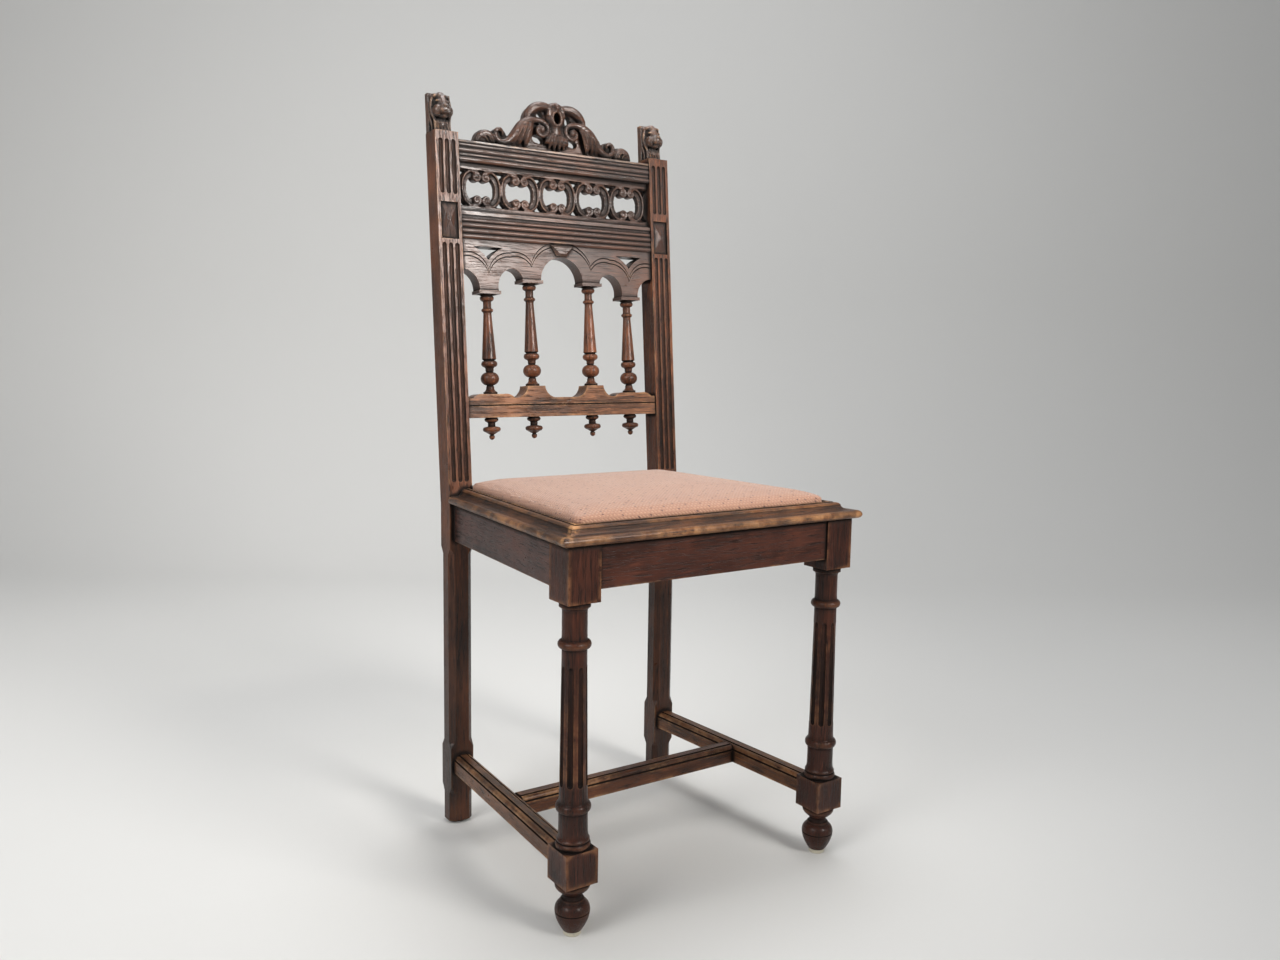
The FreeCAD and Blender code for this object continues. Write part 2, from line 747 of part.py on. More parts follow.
bar = new_body("centre_bar")
pad(bar, "YZ_Plane", [stretcher_section(CENTRE_Y)], LEG_X, f"-{LEG_X}")
trim = new_body("centre_trim")
CENTRE_FRONT, CENTRE_BACK = middle(CENTRE_Y, "stretcher_width")
pad(
    trim, "XY_Plane",
    [[
        (stretcher_inner(CENTRE_FRONT), CENTRE_FRONT), (f"-{stretcher_inner(CENTRE_FRONT)}", CENTRE_FRONT),
        (f"-{stretcher_inner(CENTRE_BACK)}", CENTRE_BACK), (stretcher_inner(CENTRE_BACK), CENTRE_BACK),
    ]],
    "stretcher_bottom", "stretcher_bottom+stretcher_height",
)
CENTRE_END = f"({stretcher_inner(CENTRE_Y)}-centre_tenon)"
core = box("centre_tenons", CENTRE_END, f"-{CENTRE_END}", *CENTRE_TENON, *STRETCHER_TENON)
keep(join("Part::MultiFuse", "stretcher_centre", [
    join("Part::MultiCommon", "centre_trimmed", [bar, trim]), core,
]))

# Seat rails, tenoned into the leg blocks and the posts
RAIL_IN = f"({HALF_FRONT}-leg_block)"
rail = new_body("seat_rail_front")
pad(
    rail, "YZ_Plane", [rect(*middle(FRONT_RAIL_Y, "rail_thickness"), RAIL_LOW, "rail_top")],
    f"-{RAIL_IN}", RAIL_IN,
)
pad(
    rail, "YZ_Plane", [rect(*middle(FRONT_RAIL_Y, "tenon_thickness"), *TENON_HIGH)],
    f"-{RAIL_IN}-tenon_length", f"{RAIL_IN}+tenon_length",
)
keep(rail)

rail = new_body("seat_rail_left")
pad(
    rail, "XY_Plane",
    [[
        (side_x(BLOCK_Y, "0"), BLOCK_Y), (side_x(BLOCK_Y, "rail_thickness"), BLOCK_Y),
        (side_x(POST_Y, "rail_thickness"), POST_Y), (side_x(POST_Y, "0"), POST_Y),
    ]],
    RAIL_LOW, "rail_top",
)
for centre, low, high in (
    (SIDE_TENON_FRONT, f"{BLOCK_Y}-tenon_length", BLOCK_Y),
    (SIDE_TENON_REAR, POST_Y, f"{POST_Y}+tenon_length"),
):
    pad(rail, "XZ_Plane", [rect(*middle(centre, "tenon_thickness"), *TENON_LOW)], low, high)
keep(rail)
twin("seat_rail_right", rail)

rail = new_body("seat_rail_back")
BACK_RAIL_BACK = f"({POST_Y}+back_rail_thickness)"
pad(
    rail, "YZ_Plane", [rect(POST_Y, BACK_RAIL_BACK, RAIL_LOW, "rail_top")],
    f"-{POST_IN}", POST_IN,
)
pad(
    rail, "YZ_Plane",
    [rect(*middle(f"{POST_Y}+back_rail_thickness/2", "tenon_thickness"), *TENON_HIGH)],
    f"-{POST_IN}-tenon_length", f"{POST_IN}+tenon_length",
)
keep(rail)

# Glued blocks in the corners and a bearer along the back carry the drop-in seat
FRONT_RAIL_BACK = f"({FRONT_Y}+rail_setback+rail_thickness)"
BLOCK_LOW = "rail_top-corner_block_height"
REAR_CORNER = side_x(POST_Y, "rail_thickness")
brace = new_body("corner_block_front_left")
pad(
    brace, "XY_Plane",
    [[
        (f"-{RAIL_IN}", FRONT_RAIL_BACK),
        (f"-{RAIL_IN}+corner_block_reach", FRONT_RAIL_BACK),
        (side_x(f"{BLOCK_Y}+corner_block_reach", "rail_thickness"), f"{BLOCK_Y}+corner_block_reach"),
        (side_x(BLOCK_Y, "rail_thickness"), BLOCK_Y),
        (f"-{RAIL_IN}", BLOCK_Y),
    ]],
    BLOCK_LOW, "rail_top",
)
keep(brace)
twin("corner_block_front_right", brace)

brace = new_body("corner_block_rear_left")
pad(
    brace, "XY_Plane",
    [[
        (REAR_CORNER, POST_Y),
        (side_x(f"{POST_Y}-corner_block_reach", "rail_thickness"), f"{POST_Y}-corner_block_reach"),
        (f"{REAR_CORNER}+corner_block_reach", POST_Y),
    ]],
    BLOCK_LOW, "rail_top",
)
keep(brace)
twin("corner_block_rear_right", brace)
BEARER_END = f"({REAR_CORNER}+corner_block_reach)"
keep(box(
    "seat_bearer_back", BEARER_END, f"-{BEARER_END}", f"{POST_Y}-bearer_depth", POST_Y,
    BLOCK_LOW, "rail_top",
))

# Back: reeded rails, a pierced fret, an arcade on spindles and a shaped lower rail
TOP_REED_SHARES = [(0.905, 0.7), (0.684, 0.7), (0.428, 0.7), (0.25, 0.7), (0.0, 0)]
ARCADE_REED_SHARES = [(0.878, -0.7), (0.77, 0.7), (0.608, 0.7), (0.405, 0.7), (0.203, 0.7), (0.0, 0)]


def reeded(low, high, face, back, shares):
    """The side view of a rail whose face has rounded reeds below a fillet."""
    span = f"({high}-{low})"
    waist = f"{face}+reed_depth"
    loop = [(back, low), (back, high), (face, high), (face, f"{low}+{span}*{shares[0][0]}")]
    loop += [(waist, f"{low}+{span}*{share}", bulge) for share, bulge in shares]
    return loop


def add_back_tenons(body, kind):
    depth, height = back_tenon(kind)
    pad(body, "YZ_Plane", [rect(*depth, *height)], f"-{POST_IN}-back_tenon", f"{POST_IN}+back_tenon")


CREST_MIDDLE = "(crest_face+crest_back)/2"
TONGUE = middle(CREST_MIDDLE, "tenon_thickness")
top_rail = new_body("top_rail")
pad(
    top_rail, "YZ_Plane",
    [reeded("top_rail_low", "top_rail_high", "top_rail_face", "top_rail_back", TOP_REED_SHARES)],
    f"-{POST_IN}", POST_IN,
)
add_back_tenons(top_rail, "top_rail")
pocket(
    top_rail, "XY_Plane",
    [rect(*loose(("-crest_tongue_half", "crest_tongue_half")), *loose(TONGUE))],
    "top_rail_high-dowel_length-joint_clearance", "top_rail_high",
)
lean(top_rail)
keep(top_rail)

# The fret is a row of facing scrolls, whose ends curl into the openings
FRET_V = "((arcade_top+top_rail_low)/2)"
FRET_BACK = "(fret_face+fret_thickness)"
SCROLL_X = "(fret_half_width-fret_bar)"
CURL_ACROSS_SHARE, CURL_DROP_SHARE, MEET_DROP_SHARE = 1.95, 1.3, 1.5
CURL_X = f"({CURL_ACROSS_SHARE}*fret_volute)"
CURL_V = f"(fret_half_height-{CURL_DROP_SHARE}*fret_volute)"
MEET_V = f"(fret_half_height-{MEET_DROP_SHARE}*fret_volute)"


def scroll_opening(centre):
    """The opening inside a pair of facing scrolls."""
    right = f"{centre}+{SCROLL_X}"
    left = f"{centre}-{SCROLL_X}"
    curl_right = f"{centre}+{CURL_X}"
    curl_left = f"{centre}-{CURL_X}"
    return [
        (right, FRET_V, 0.3), (curl_right, f"{FRET_V}+{CURL_V}", -0.68),
        (centre, f"{FRET_V}+{MEET_V}", -0.68), (curl_left, f"{FRET_V}+{CURL_V}", 0.3),
        (left, FRET_V, 0.3), (curl_left, f"{FRET_V}-{CURL_V}", -0.68),
        (centre, f"{FRET_V}-{MEET_V}", -0.68), (curl_right, f"{FRET_V}-{CURL_V}", 0.3),
    ]


def gap_opening(centre, sign, kind):
    """A three-sided opening at a strip: a gap between two motifs or a notch over one."""
    base = f"{FRET_V}{sign}(fret_half_height-fret_bar/4)"
    point = f"{FRET_V}{sign}(fret_half_height-fret_bar/4-fret_{kind}_height)"
    bend = -0.2 if sign == "+" else 0.2
    return [
        (centre, point, bend), (f"{centre}+fret_{kind}_half", base),
        (f"{centre}-fret_{kind}_half", base, bend),
    ]


def repeat(body, feature, count):
    """Repeat a feature across the fret at its pitch."""
    pattern = body.newObject("PartDesign::LinearPattern", body.Label + "_row")
    pattern.Originals = [feature]
    pattern.Direction = (
        next(item for item in body.Origin.OriginFeatures if item.Role == "X_Axis"), [""],
    )
    bind(pattern, "Length", f"fret_pitch*{count - 1}")
    pattern.Occurrences = count
    body.Tip = pattern


fret = new_body("fret_panel")
pad(
    fret, "XZ_Plane", [rect(f"-{POST_IN}", POST_IN, "arcade_top", "top_rail_low")],
    "fret_face", FRET_BACK,
)
add_back_tenons(fret, "fret")
first = f"-fret_pitch*{(FRET_MOTIFS - 1) / 2}"
motif = [scroll_opening(first), gap_opening(first, "+", "notch"), gap_opening(first, "-", "notch")]
repeat(fret, pocket(fret, "XZ_Plane", motif, "fret_face", FRET_BACK), FRET_MOTIFS)
first = f"-fret_pitch*{FRET_MOTIFS / 2}"
gaps = [gap_opening(first, "+", "gap"), gap_opening(first, "-", "gap")]
repeat(fret, pocket(fret, "XZ_Plane", gaps, "fret_face", FRET_BACK), FRET_MOTIFS + 1)
lean(fret)
keep(fret)


def backward(path):
    """Run along a path the other way."""
    return [
        (x, v, -path[index - 1][2] if index else 0)
        for index, (x, v, _) in reversed(list(enumerate(path)))
    ]


def mirror_on(right):
    """Run a path of the right half, which ends on the middle, on through its mirror image."""
    left = [(f"-({x})", v, -bulge) for x, v, bulge in backward(right)[1:]]
    middle_spot = (*right[-1][:2], right[-2][2])
    return right[:-1] + [middle_spot] + left


ARCH = -QUARTER_ROUND
SMALL_X = "(outer_spindle+inner_spindle)/2"
arch_left = [
    (f"-{POST_IN}", "half_arch_crown", ARCH),
    ("-outer_spindle-pier_half", "outer_pier", 0),
    ("-outer_spindle+pier_half", "outer_pier", ARCH),
    (f"-{SMALL_X}", "small_arch_crown", ARCH),
    ("-inner_spindle-pier_half", "inner_pier", 0),
    ("-inner_spindle+pier_half", "inner_pier", ARCH),
    ("0", "centre_arch_crown", ARCH),
]
arch_right = [
    ("inner_spindle-pier_half", "inner_pier", 0),
    ("inner_spindle+pier_half", "inner_pier", ARCH),
    (SMALL_X, "small_arch_crown", ARCH),
    ("outer_spindle-pier_half", "outer_pier", 0),
    ("outer_spindle+pier_half", "outer_pier", ARCH),
    (POST_IN, "half_arch_crown", 0),
]
arcade = new_body("arcade_rail")
pad(
    arcade, "XZ_Plane",
    [arch_left + arch_right + [(POST_IN, "arcade_top"), (f"-{POST_IN}", "arcade_top")]],
    "arcade_face", "arcade_back",
)
pad(
    arcade, "YZ_Plane",
    [reeded(
        "arcade_reeds", "arcade_top", "arcade_face-reed_depth", "arcade_back", ARCADE_REED_SHARES,
    )],
    f"-{POST_IN}", POST_IN,
)
add_back_tenons(arcade, "arcade")
SPINDLES = {"outer": ("outer_pier", "bump_top"), "inner": ("inner_pier", "pedestal_top")}
for kind, (pier, base) in SPINDLES.items():
    for sign in ("-", ""):
        spot = f"{sign}{kind}_spindle"
        pad(
            arcade, "XZ_Plane",
            [rect(f"{spot}-plate_half", f"{spot}+plate_half", f"{pier}-plate_height", pier)],
            "arcade_face-plate_proud", "arcade_back",
        )
        bore(
            arcade, spot, "spindle_depth", f"{pier}-plate_height",
            f"{pier}-plate_height+dowel_length+joint_clearance", "dowel_radius+joint_clearance",
        )
# Two incised lines follow the arches, and a curved triangle pierces each outer spandrel
LINE_RISE_SHARES = (1.4, 1.15, 0.9)
outer_rise, inner_rise, centre_rise = LINE_RISE_SHARES
LINE_HALF = [
    (POST_IN, "half_arch_crown+line_offset", QUARTER_ROUND),
    ("outer_spindle", f"outer_pier+{outer_rise}*line_offset", SWELL),
    (SMALL_X, "small_arch_crown+line_offset", SWELL),
    ("inner_spindle", f"inner_pier+{inner_rise}*line_offset", SWELL),
    ("0", f"centre_arch_crown+{centre_rise}*line_offset", 0),
]
for rise in ("0", "line_gap"):
    upper = [(x, f"{v}+{rise}", bulge) for x, v, bulge in mirror_on(LINE_HALF)]
    lower = [(x, f"{v}-line_width", bulge) for x, v, bulge in backward(upper)]
    pocket(
        arcade, "XZ_Plane", [upper + lower], "arcade_face-reed_depth", "arcade_face+line_depth",
    )
PIERCED_TOP = "(arcade_reeds-pierced_drop)"
PIERCED_BOW = -0.14
for sign in ("-", ""):
    spot = f"{sign}outer_spindle"
    pocket(
        arcade, "XZ_Plane",
        [[
            (f"{spot}-pierced_width/2", PIERCED_TOP, PIERCED_BOW),
            (spot, f"{PIERCED_TOP}-pierced_height", PIERCED_BOW),
            (f"{spot}+pierced_width/2", PIERCED_TOP),
        ]],
        "arcade_face", "arcade_back",
    )
lean(arcade)
keep(arcade)

keystone = new_body("keystone")


def key_section(bevel):
    low, high = f"keystone_low+{bevel}", f"arcade_reeds-{bevel}"
    return [
        (f"-keystone_low_half+{bevel}", low), (f"keystone_low_half-{bevel}", low),
        (f"keystone_high_half-{bevel}", high), (f"-keystone_high_half+{bevel}", high),
    ]


loft(keystone, "XZ_Plane", [
    ("arcade_face", key_section("0")),
    ("arcade_face-keystone_proud+keystone_bevel", key_section("0")),
    ("arcade_face-keystone_proud", key_section("keystone_bevel")),
])
lean(keystone)
keep(keystone)

# Turned spindles and the pendants below them
BASE_NECK_SHARE, BALL_NECK_SHARE, RING_NECK_SHARE, SWELL_SHARE = 1.6, 0.6, 0.7, 0.75
TIP_NECK_SHARE, TIP_RISE_SHARE = 0.6, 1.8
for kind, (pier, base) in SPINDLES.items():
    length = f"({pier}-plate_height-{base})"
    collar = f"{length}-spindle_collar_drop"
    spindle = new_body(f"spindle_{kind}_left")
    turn(spindle, [
        ("0", "-dowel_length"),
        ("dowel_radius", "-dowel_length"),
        ("dowel_radius", "0"),
        ("spindle_base_radius", "0"),
        ("spindle_base_radius", "spindle_base_height/2", HOLLOW),
        ("spindle_neck_radius", f"spindle_base_height*{BASE_NECK_SHARE}"),
        *bead("spindle_ball_radius", "spindle_ball_level", "spindle_ball_height"),
        ("spindle_neck_radius", f"spindle_ball_level+spindle_ball_height*{BALL_NECK_SHARE}"),
        ("spindle_neck_radius", f"spindle_ring_level-spindle_ring_height*{RING_NECK_SHARE}"),
        *bead("spindle_ring_radius", "spindle_ring_level", "spindle_ring_height"),
        ("spindle_swell_radius", f"spindle_ring_level+spindle_ring_height*{SWELL_SHARE}"),
        ("spindle_neck_radius", f"{collar}-spindle_collar_height"),
        *bead("spindle_collar_radius", collar, "spindle_collar_height"),
        ("spindle_neck_radius", f"{collar}+spindle_collar_height"),
        ("spindle_neck_radius", f"{length}-spindle_cap_drop-spindle_cap_height*{BALL_NECK_SHARE}"),
        *bead("spindle_cap_radius", f"{length}-spindle_cap_drop", "spindle_cap_height"),
        ("spindle_cap_radius", f"{length}-spindle_cap_drop/4"),
        ("spindle_cap_radius", length),
        ("dowel_radius", length),
        ("dowel_radius", f"{length}+dowel_length"),
        ("0", f"{length}+dowel_length"),
    ])
    lean(spindle, f"-{kind}_spindle", "spindle_depth", base)
    keep(spindle)
    twin(f"spindle_{kind}_right", spindle)

    pendant = new_body(f"pendant_{kind}_left")
    tip = "pendant_tip_radius"
    turn(pendant, [
        ("0", "-pendant_drop", QUARTER_ROUND),
        (tip, f"-pendant_drop+{tip}", QUARTER_ROUND),
        (f"{tip}*{TIP_NECK_SHARE}", f"-pendant_drop+{tip}*{TIP_RISE_SHARE}"),
        *bead("pendant_disc_radius", "-pendant_disc_drop", "pendant_disc_height"),
        ("pendant_neck_radius", f"-pendant_disc_drop+pendant_disc_height*{BALL_NECK_SHARE}"),
        ("pendant_neck_radius", "-pendant_collar_height*1.2"),
        *bead("pendant_collar_radius", "-pendant_collar_height/2", "pendant_collar_height"),
        ("dowel_radius", "0"),
        ("dowel_radius", "dowel_length"),
        ("0", "dowel_length"),
    ])
    lean(pendant, f"-{kind}_spindle", "spindle_depth", "low_rail_bottom")
    keep(pendant)
    twin(f"pendant_{kind}_right", pendant)

# Lower rail: a low swell under each outer spindle and a flared foot under each inner one
LOW_EDGE = [
    (POST_IN, "low_rail_top", 0),
    ("outer_spindle+bump_half", "low_rail_top", 0.25),
    ("outer_spindle+pier_half", "bump_top", 0),
    ("outer_spindle-pier_half", "bump_top", 0.25),
    ("outer_spindle-bump_half", "low_rail_top", 0),
    ("inner_spindle+pedestal_flare", "low_rail_top", HOLLOW),
    ("inner_spindle+pedestal_half", "pedestal_top", 0),
    ("inner_spindle-pedestal_half", "pedestal_top", HOLLOW),
    ("inner_spindle-pedestal_flare", "low_rail_top", 0),
    ("0", "low_rail_top", 0),
]
low_rail = new_body("lower_back_rail")
low_edge = mirror_on(LOW_EDGE)
pad(
    low_rail, "XZ_Plane",
    [[*low_edge, (f"-{POST_IN}", "low_rail_bottom"), (POST_IN, "low_rail_bottom")]],
    "low_rail_face", "low_rail_back",
)
add_back_tenons(low_rail, "low_rail")
pocket(
    low_rail, "XZ_Plane",
    [rect(f"-{POST_IN}", POST_IN, "low_rail_line-line_width", "low_rail_line")],
    "low_rail_face", "low_rail_face+line_depth",
)
for kind, (pier, base) in SPINDLES.items():
    for sign in ("-", ""):
        spot = f"{sign}{kind}_spindle"
        hole = "dowel_radius+joint_clearance"
        bore(low_rail, spot, "spindle_depth", f"{base}-dowel_length-joint_clearance", base, hole)
        bore(
            low_rail, spot, "spindle_depth", "low_rail_bottom",
            "low_rail_bottom+dowel_length+joint_clearance", hole,
        )
lean(low_rail)
keep(low_rail)

# Crest: a pierced cartouche between scrolled leaves, as shares of half its width and height
CREST_SHARES = [
    (1.0, 0.0, 0.2), (0.98, 0.12, 0.35), (0.87, 0.29, 0.15), (0.78, 0.25, 0.3),
    (0.69, 0.36, 0.4), (0.6, 0.2, -0.2), (0.5, 0.37, -0.2), (0.38, 0.66, 0.35),
    (0.21, 0.92, 0.3), (0.11, 0.9, 0.3), (0.0, 1.0, 0),
]
PIERCING_SHARES = [(0.175, 0.66, 0.035, 0.13), (0.215, 0.24, 0.07, 0.07)]
CREST_EYE_SHARE = 0.67
HALF_CREST = "crest_width/2"
crest = new_body("crest")
crest_edge = mirror_on([
    (f"{HALF_CREST}*{across}", f"top_rail_high+crest_height*{high}", bulge)
    for across, high, bulge in CREST_SHARES
])
pad(crest, "XZ_Plane", [crest_edge], "crest_face", "crest_back")


def lens(across, high, half_width, half_height):
    """A pointed oval of two arcs."""
    return [
        (across, f"{high}-{half_height}", 0.6), (f"{across}+{half_width}", high, 0.3),
        (across, f"{high}+{half_height}", 0.6), (f"{across}-{half_width}", high, 0.3),
    ]


pocket(
    crest, "XZ_Plane",
    [lens(
        "0", f"top_rail_high+crest_height*{CREST_EYE_SHARE}",
        "crest_eye_half_width", "crest_eye_half_height",
    )],
    "crest_face", CREST_MIDDLE,
)
for across, high, half_width, half_height in PIERCING_SHARES:
    for sign in ("-", ""):
        pocket(
            crest, "XZ_Plane",
            [lens(
                f"{sign}{HALF_CREST}*{across}", f"top_rail_high+crest_height*{high}",
                f"{HALF_CREST}*{half_width}", f"crest_height*{half_height}",
            )],
            "crest_face", "crest_back",
        )
pad(
    crest, "XZ_Plane",
    [rect("-crest_tongue_half", "crest_tongue_half", "top_rail_high-dowel_length", "top_rail_high")],
    *TONGUE,
)
lean(crest)
keep(crest)

# Seat moulding: a rounded nose, a hollow, a bead and a fillet, mitred at the front corners
NOSE_Y = f"({FRONT_Y}-moulding_overhang)"
INNER_Y = f"({NOSE_Y}+moulding_width)"
INNER_INSET = "moulding_width-moulding_overhang"
NOSE = f"{BEAD_SHARE}*nose_height"
MOULDING_TOP = "(rail_top+moulding_height)"


def moulding_profile(start):
    """The moulding from its nose inwards, standing on the seat rails."""
    bead_in = f"{start}+moulding_width-inner_fillet"
    bead_out = f"{bead_in}-moulding_bead"
    return [
        (f"{start}+{NOSE}", "rail_top"),
        (f"{start}+moulding_width", "rail_top"),
        (f"{start}+moulding_width", MOULDING_TOP),
        (bead_in, MOULDING_TOP),
        (bead_in, f"{MOULDING_TOP}-quirk_depth", SWELL),
        (bead_out, f"{MOULDING_TOP}-quirk_depth-bead_fall"),
        (bead_out, f"{MOULDING_TOP}-2*quirk_depth-bead_fall", HOLLOW),
        (f"{start}+nose_depth", "rail_top+nose_height"),
        (f"{start}+{NOSE}", "rail_top+nose_height", HALF_ROUND),
    ]


NOSE_X = side_x(NOSE_Y, "-moulding_overhang")
INNER_X = side_x(INNER_Y, INNER_INSET)
run = new_body("moulding_front_run")
pad(run, "YZ_Plane", [moulding_profile(NOSE_Y)], NOSE_X, f"-({NOSE_X})")
plan = new_body("moulding_front_plan")
pad(
    plan, "XY_Plane",
    [[
        (NOSE_X, NOSE_Y), (f"-({NOSE_X})", NOSE_Y),
        (f"-({INNER_X})", INNER_Y), (INNER_X, INNER_Y),
    ]],
    "rail_top", "rail_top+moulding_height",
)
keep(join("Part::MultiCommon", "seat_moulding_front", [run, plan]))

run = new_body("moulding_side_run")
pad(run, "XZ_Plane", [moulding_profile("0")], "-moulding_width", "seat_depth+2*moulding_width")
run.Placement = FreeCAD.Placement(V(0, 0, 0), FreeCAD.Rotation(V(0, 0, 1), value("rake_angle")))
place(run, NOSE_X, NOSE_Y, "0")
bind(run, "Placement.Rotation.Angle", f"-atan({TAPER})")
plan = new_body("moulding_side_plan")
pad(
    plan, "XY_Plane",
    [[
        (NOSE_X, NOSE_Y), (INNER_X, INNER_Y),
        (side_x(POST_Y, INNER_INSET), POST_Y), (side_x(POST_Y, "-moulding_overhang"), POST_Y),
    ]],
    "rail_top", "rail_top+moulding_height",
)
moulding = keep(join("Part::MultiCommon", "seat_moulding_left", [run, plan]))
twin("seat_moulding_right", moulding)
keep(box(
    "seat_back_strip", f"-{POST_IN}", POST_IN, f"{POST_Y}+back_strip_setback", BACK_RAIL_BACK,
    "rail_top", "rail_top+moulding_height",
))

# Drop-in seat: a half-lapped frame, jute webbing, hessian and a crowned stuffed pad
SEAT_INSET = f"{INNER_INSET}+seat_clearance"
SEAT_FRONT = f"({INNER_Y}+seat_clearance)"
SEAT_REAR = f"({POST_Y}-seat_clearance)"
FRAME_LOW = "(rail_top+seat_gap)"
FRAME_LAP = f"({FRAME_LOW}+seat_frame_height/2)"
FRAME_TOP = f"({FRAME_LOW}+seat_frame_height)"
MEMBER_INSET = f"{SEAT_INSET}+seat_frame_width"


def bar_plan(front, rear, inset):
    """A bar from side to side between two depths, this far inside the rails' faces."""
    left_front, left_rear = side_x(front, inset), side_x(rear, inset)
    return [
        (left_front, front), (f"-({left_front})", front),
        (f"-({left_rear})", rear), (left_rear, rear),
    ]


def side_plan(front, rear):
    return [
        (side_x(front, SEAT_INSET), front), (side_x(front, MEMBER_INSET), front),
        (side_x(rear, MEMBER_INSET), rear), (side_x(rear, SEAT_INSET), rear),
    ]


FRAME_FRONT_IN = f"({SEAT_FRONT}+seat_frame_width)"
FRAME_REAR_IN = f"({SEAT_REAR}-seat_frame_width)"
for label, front, rear in (
    ("seat_frame_front", SEAT_FRONT, FRAME_FRONT_IN),
    ("seat_frame_back", FRAME_REAR_IN, SEAT_REAR),
):
    member = new_body(label)
    pad(member, "XY_Plane", [bar_plan(front, rear, SEAT_INSET)], FRAME_LOW, FRAME_LAP)
    pad(member, "XY_Plane", [bar_plan(front, rear, MEMBER_INSET)], FRAME_LAP, FRAME_TOP)
    keep(member)
member = new_body("seat_frame_left")
pad(member, "XY_Plane", [side_plan(SEAT_FRONT, SEAT_REAR)], FRAME_LAP, FRAME_TOP)
pad(member, "XY_Plane", [side_plan(FRAME_FRONT_IN, FRAME_REAR_IN)], FRAME_LOW, FRAME_LAP)
keep(member)
twin("seat_frame_right", member)

WEB_FRONT = f"({SEAT_FRONT}+webbing_edge)"
WEB_REAR = f"({SEAT_REAR}-webbing_edge)"
WEB_INSET = f"{SEAT_INSET}+webbing_edge"
WEB_MID = f"({FRAME_TOP}+webbing_thickness)"
WEB_TOP = f"({WEB_MID}+webbing_thickness)"
straps = []
for index in range(STRAPS_ACROSS):
    spread = f"({WEB_REAR}-{WEB_FRONT}-webbing_width)*{index / (STRAPS_ACROSS - 1)}"
    centre = f"({WEB_FRONT}+webbing_width/2+{spread})"
    strap = new_body(f"strap_across_{index}")
    pad(
        strap, "XY_Plane", [bar_plan(*middle(centre, "webbing_width"), WEB_INSET)],
        FRAME_TOP, WEB_MID,
    )
    straps.append(strap)
keep(join("Part::Compound", "webbing_across", straps))
straps = []
WEB_HALF = f"(-({side_x(WEB_REAR, WEB_INSET)})-webbing_width/2)"
for index in range(STRAPS_ALONG):
    centre = f"{WEB_HALF}*({2 * index / (STRAPS_ALONG - 1) - 1:.6f})"
    straps.append(box(
        f"strap_along_{index}", *middle(centre, "webbing_width"), WEB_FRONT, WEB_REAR,
        WEB_MID, WEB_TOP,
    ))
keep(join("Part::Compound", "webbing_along", straps))

HESSIAN_TOP = f"({WEB_TOP}+hessian_thickness)"
hessian = new_body("hessian")
pad(
    hessian, "XY_Plane",
    [bar_plan(
        f"({SEAT_FRONT}+hessian_edge)", f"({SEAT_REAR}-hessian_edge)", f"{SEAT_INSET}+hessian_edge",
    )],
    WEB_TOP, HESSIAN_TOP,
)
keep(hessian)


def rounded_plan(inset):
    """The seat's outline with rounded corners, drawn in by an inset."""
    front, rear = f"({SEAT_FRONT}+({inset}))", f"({SEAT_REAR}-({inset}))"
    edge = f"{SEAT_INSET}+{inset}"
    left_front = f"({side_x(front, edge)}+pad_corner)"
    left_rear = f"({side_x(rear, edge)}+pad_corner)"
    side_front = f"({side_x(f'({front}+pad_corner)', edge)})"
    side_rear = f"({side_x(f'({rear}-pad_corner)', edge)})"
    return [
        (left_front, front), (f"-{left_front}", front, QUARTER_ROUND),
        (f"-{side_front}", f"{front}+pad_corner"), (f"-{side_rear}", f"{rear}-pad_corner", QUARTER_ROUND),
        (f"-{left_rear}", rear), (left_rear, rear, QUARTER_ROUND),
        (side_rear, f"{rear}-pad_corner"), (side_front, f"{front}+pad_corner", QUARTER_ROUND),
    ]


WELT_TOP = f"({FRAME_TOP}+welt_height)"
welt = new_body("seat_welt")
pad(
    welt, "XY_Plane", [rounded_plan("0"), rounded_plan("welt_width")],
    FRAME_TOP, WELT_TOP,
)
keep(welt)

# The pad fills the welt's ring and swells over it. The crown's shares are of the rise: how far
# it has risen, and how far it is drawn in
CROWN_RISE = f"({HESSIAN_TOP}+pad_rise-{WELT_TOP})"
CROWN_SHARES = [
    (0.0, 0.0), (0.2, 0.01), (0.33, 0.16), (0.5, 0.9), (0.7, 2.2), (0.85, 4.2), (1.0, 7.0),
]
cushion = new_body("seat_pad")
pad(cushion, "XY_Plane", [rounded_plan("welt_width")], HESSIAN_TOP, WELT_TOP)
loft(cushion, "XY_Plane", [
    (f"{WELT_TOP}+{CROWN_RISE}*{up}", rounded_plan(f"pad_lip+{CROWN_RISE}*{drawn}"))
    for up, drawn in CROWN_SHARES
])
keep(cushion)

doc.recompute()
failed = [item.Name for item in doc.Objects if {"Invalid", "Error"} & set(item.State)]
if failed:
    raise RuntimeError(f"failed objects: {failed}")
for piece in pieces:
    if piece.Shape.isNull() or not piece.Shape.isValid():
        raise RuntimeError(f"{piece.Label} has no valid shape")

os.makedirs("parts", exist_ok=True)
for piece in pieces:
    piece.Shape.exportStep(os.path.join("parts", piece.Label + ".step"))
print(f"{len(pieces)} pieces written")
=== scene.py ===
# %% [markdown]
# # A carved oak dining chair
# The chair is of the kind made for Renaissance revival dining rooms: dark stained oak, turned
# front legs, a raked back with an arcade of spindles and a pierced, carved crest. The timber
# parts come from the solid model. This lesson gives them worn, waxed wood, and it makes what
# a solid model is poor at: carving, cloth and stuffing.

# %% Load the solid model
import math

import bmesh
import bpy
import numpy as np
from mathutils import Matrix, Vector, noise


